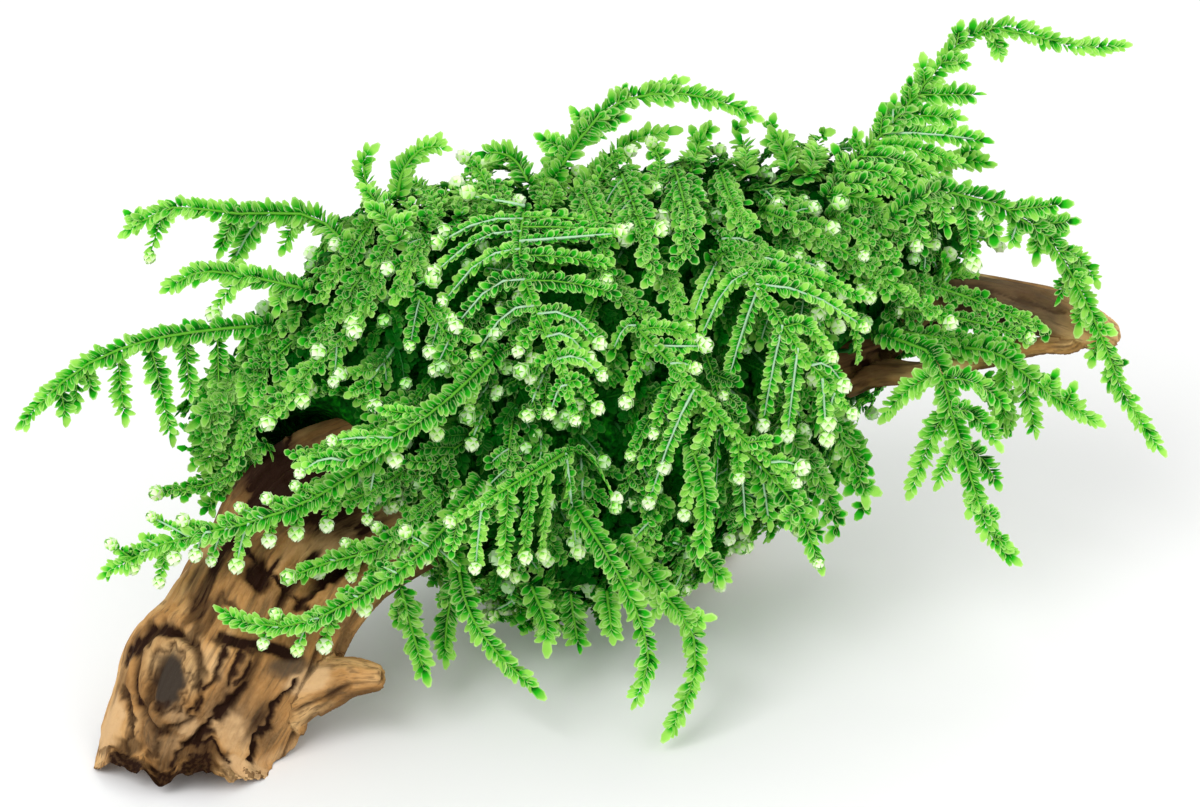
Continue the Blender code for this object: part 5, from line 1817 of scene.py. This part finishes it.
def build_stage():
    """A pale floor, a light studio with three soft lamps, and the camera at the picture's eye."""
    scene = bpy.context.scene
    stage = scene.weeping_moss.stage
    corners = np.array([(-1, -1, 0), (1, -1, 0), (1, 1, 0), (-1, 1, 0)], float) * stage.floor_width / 2
    material, tree, shader = new_material("studio_floor", roughness=0.9, specular=0.1)
    colour = ramp(tree, noise(tree, object_place(tree), scale=2.0), (
        (0.0, tuple(0.985 * c for c in stage.floor_colour)),
        (1.0, tuple(stage.floor_colour)),
    ))
    feed(tree, shader.inputs["Base Color"], colour)
    floor = mesh_object("studio_floor", corners, np.array([(0, 1, 2), (0, 2, 3)]), (material,))
    world = bpy.data.worlds.new("studio")
    world.use_nodes = True
    background = world.node_tree.nodes["Background"]
    background.inputs["Color"].default_value = (*stage.sky_colour, 1.0)
    background.inputs["Strength"].default_value = stage.sky_strength
    scene.world = world
    for name, place, width, share in LAMPS:
        data = bpy.data.lights.new(name, "AREA")
        data.energy = share * stage.key_power
        data.size = width
        light = bpy.data.objects.new(name, data)
        light.location = place
        aim = np.array((0.0, 0.0, 0.05)) - place
        light.rotation_euler = (
            math.atan2(math.hypot(aim[0], aim[1]), -aim[2]), 0.0, math.atan2(aim[0], -aim[1]) + math.pi
        )
        scene.collection.objects.link(light)
    data = bpy.data.cameras.new("picture_eye")
    data.lens = EYE_LENS
    data.sensor_width = SENSOR_WIDTH
    camera = bpy.data.objects.new("picture_eye", data)
    camera.location = in_space([(*PICTURE_MIDDLE, EYE_DISTANCE)])[0]
    camera.rotation_euler = (math.pi / 2 - EYE_TILT, 0.0, 0.0)
    scene.collection.objects.link(camera)
    scene.camera = camera
    scene.view_settings.view_transform = "Standard"


# Settings


def length_setting(name, description, default, least=0.0):
    return bpy.props.FloatProperty(
        name=name, description=description, default=default, min=least, unit="LENGTH", precision=5
    )


def colour_setting(name, description, default):
    return bpy.props.FloatVectorProperty(
        name=name, description=description, default=default, size=3, min=0.0, max=1.0, subtype="COLOR"
    )


def number_setting(name, description, default):
    return bpy.props.FloatProperty(name=name, description=description, default=default, min=0.0)


class WoodSettings(bpy.types.PropertyGroup):
    skin_step: length_setting("Skin step", "Size of the faces of the wood's skin", 0.00045, 0.0002)
    grain_height: length_setting("Grain height", "Height of the ridges along the grain", 0.0002)
    middle: colour_setting("Wood", "Colour of most of the wood", (0.42, 0.198, 0.053))
    shaded: colour_setting("Shaded wood", "Colour of its darker parts", (0.125, 0.050, 0.011))
    worn: colour_setting("Worn wood", "Colour of its lighter parts", (0.76, 0.48, 0.21))
    bleached: colour_setting("Bleached wood", "Colour of broken and bare places", (0.64, 0.41, 0.20))
    stained: colour_setting("Stained wood", "Colour of the knot and of grey stains", (0.055, 0.044, 0.032))
    # The crevice colour is the painted shade in cracks, hollows, undersides and under the moss, and the
    # colour of the lines between the fibres.
    crevice: colour_setting("Crevice", "Colour of cracks and hollows", (0.018, 0.005, 0.001))


class FrondSettings(bpy.types.PropertyGroup):
    leaf_length: length_setting("Leaf length", "Length of a leaf", 0.00130)
    leaf_gap: length_setting("Leaf gap", "Distance between leaves in a row", 0.00060, 0.0003)
    leaf_lean_degrees: number_setting("Leaf lean", "Degrees between a leaf and its stem", 56.0)
    branchlet_gap: length_setting("Branchlet gap", "Distance between branchlets in a row", 0.0037, 0.001)
    branchlet_lean_degrees: number_setting("Branchlet lean", "Degrees between a branchlet and its stem", 50.0)
    stem_width: length_setting("Stem width", "Width of a stem at its root", 0.00042)
    bud_width: length_setting("Bud width", "Width of a bud at a tip", 0.0024)


class CushionSettings(bpy.types.PropertyGroup):
    layer_depth: length_setting("Layer depth", "Depth of the layer of shoots", 0.0042)
    seed: bpy.props.IntProperty(name="Seed", description="Seed of the shoots' places", default=7)


class MossColours(bpy.types.PropertyGroup):
    # Deep is also the painted shade deep in the moss and at the leaves' bases, and pale along the rims is
    # partly a painted highlight.
    deep: colour_setting("Deep", "Colour deep in the moss and at a leaf's base", (0.000, 0.115, 0.003))
    middle: colour_setting("Middle", "Colour of most of a leaf", (0.020, 0.52, 0.008))
    light: colour_setting("Light", "Colour near a leaf's rim", (0.40, 0.87, 0.12))
    pale: colour_setting("Pale", "Colour of the lightest rims", (0.71, 0.97, 0.38))
    stem: colour_setting("Stem", "Colour of the stems", (0.16, 0.52, 0.04))
    rib: colour_setting("Pale midrib", "Colour of the palest midribs", (0.60, 0.82, 0.66))
    bud: colour_setting("Bud", "Colour of the ends of the buds", (0.90, 0.96, 0.80))
    see_through: bpy.props.FloatProperty(
        name="See-through", description="Part of the light that goes through a leaf", default=0.3,
        min=0.0, max=1.0, subtype="FACTOR",
    )


class StageSettings(bpy.types.PropertyGroup):
    floor_width: length_setting("Floor width", "Side of the floor", 12.0)
    floor_colour: colour_setting("Floor", "Colour of the floor", (0.90, 0.90, 0.90))
    sky_colour: colour_setting("Surround", "Colour of the studio round the piece", (1.0, 1.0, 1.0))
    sky_strength: number_setting("Surround strength", "Brightness of the studio", 0.62)
    key_power: number_setting("Key light", "Power of the main light in watts", 5.5)


class WeepingMoss(bpy.types.PropertyGroup):
    wood: bpy.props.PointerProperty(type=WoodSettings)
    fronds: bpy.props.PointerProperty(type=FrondSettings)
    cushion: bpy.props.PointerProperty(type=CushionSettings)
    colours: bpy.props.PointerProperty(type=MossColours)
    stage: bpy.props.PointerProperty(type=StageSettings)


class MOSS_OT_driftwood(bpy.types.Operator):
    """Carve the driftwood: trunk, stub, branches and rear root in one skin"""

    bl_idname = "weeping_moss.driftwood"
    bl_label = "Driftwood"

    def execute(self, context):
        build_driftwood()
        return {"FINISHED"}


class MOSS_OT_mat(bpy.types.Operator):
    """Lay the dark mat inside the moss cushion"""

    bl_idname = "weeping_moss.mat"
    bl_label = "Moss mat"

    def execute(self, context):
        build_mat()
        return {"FINISHED"}


class MOSS_OT_cushion(bpy.types.Operator):
    """Grow the shoots of the moss cushion"""

    bl_idname = "weeping_moss.cushion"
    bl_label = "Cushion shoots"

    def execute(self, context):
        build_cushion_shoots()
        build_creeping_shoots()
        return {"FINISHED"}


class MOSS_OT_fronds(bpy.types.Operator):
    """Grow the fronds that stand out of the moss"""

    bl_idname = "weeping_moss.fronds"
    bl_label = "Fronds"

    def execute(self, context):
        for seed, name in enumerate(FRONDS):
            build_frond(name, seed)
        return {"FINISHED"}


class MOSS_OT_stage(bpy.types.Operator):
    """Set the floor, the lights and the camera"""

    bl_idname = "weeping_moss.stage"
    bl_label = "Stage"

    def execute(self, context):
        build_stage()
        return {"FINISHED"}


OPERATORS = (MOSS_OT_driftwood, MOSS_OT_mat, MOSS_OT_cushion, MOSS_OT_fronds, MOSS_OT_stage)


class MOSS_PT_panel(bpy.types.Panel):
    bl_idname = "MOSS_PT_panel"
    bl_label = "Weeping moss on driftwood"
    bl_space_type = "VIEW_3D"
    bl_region_type = "UI"
    bl_category = "Weeping moss"

    def draw(self, context):
        moss = context.scene.weeping_moss
        for operator in OPERATORS:
            self.layout.operator(operator.bl_idname)
        for group in (moss.wood, moss.fronds, moss.cushion, moss.colours, moss.stage):
            box = self.layout.box()
            for name in group.__annotations__:
                box.prop(group, name)


CLASSES = (
    WoodSettings,
    FrondSettings,
    CushionSettings,
    MossColours,
    StageSettings,
    WeepingMoss,
    *OPERATORS,
    MOSS_PT_panel,
)


def register():
    for kind in CLASSES:
        bpy.utils.register_class(kind)
    bpy.types.Scene.weeping_moss = bpy.props.PointerProperty(type=WeepingMoss)


def unregister():
    del bpy.types.Scene.weeping_moss
    for kind in reversed(CLASSES):
        bpy.utils.unregister_class(kind)


def main():
    register()
    bpy.ops.weeping_moss.driftwood()
    bpy.ops.weeping_moss.mat()
    bpy.ops.weeping_moss.cushion()
    bpy.ops.weeping_moss.fronds()
    bpy.ops.weeping_moss.stage()


if __name__ == "__main__":
    main()
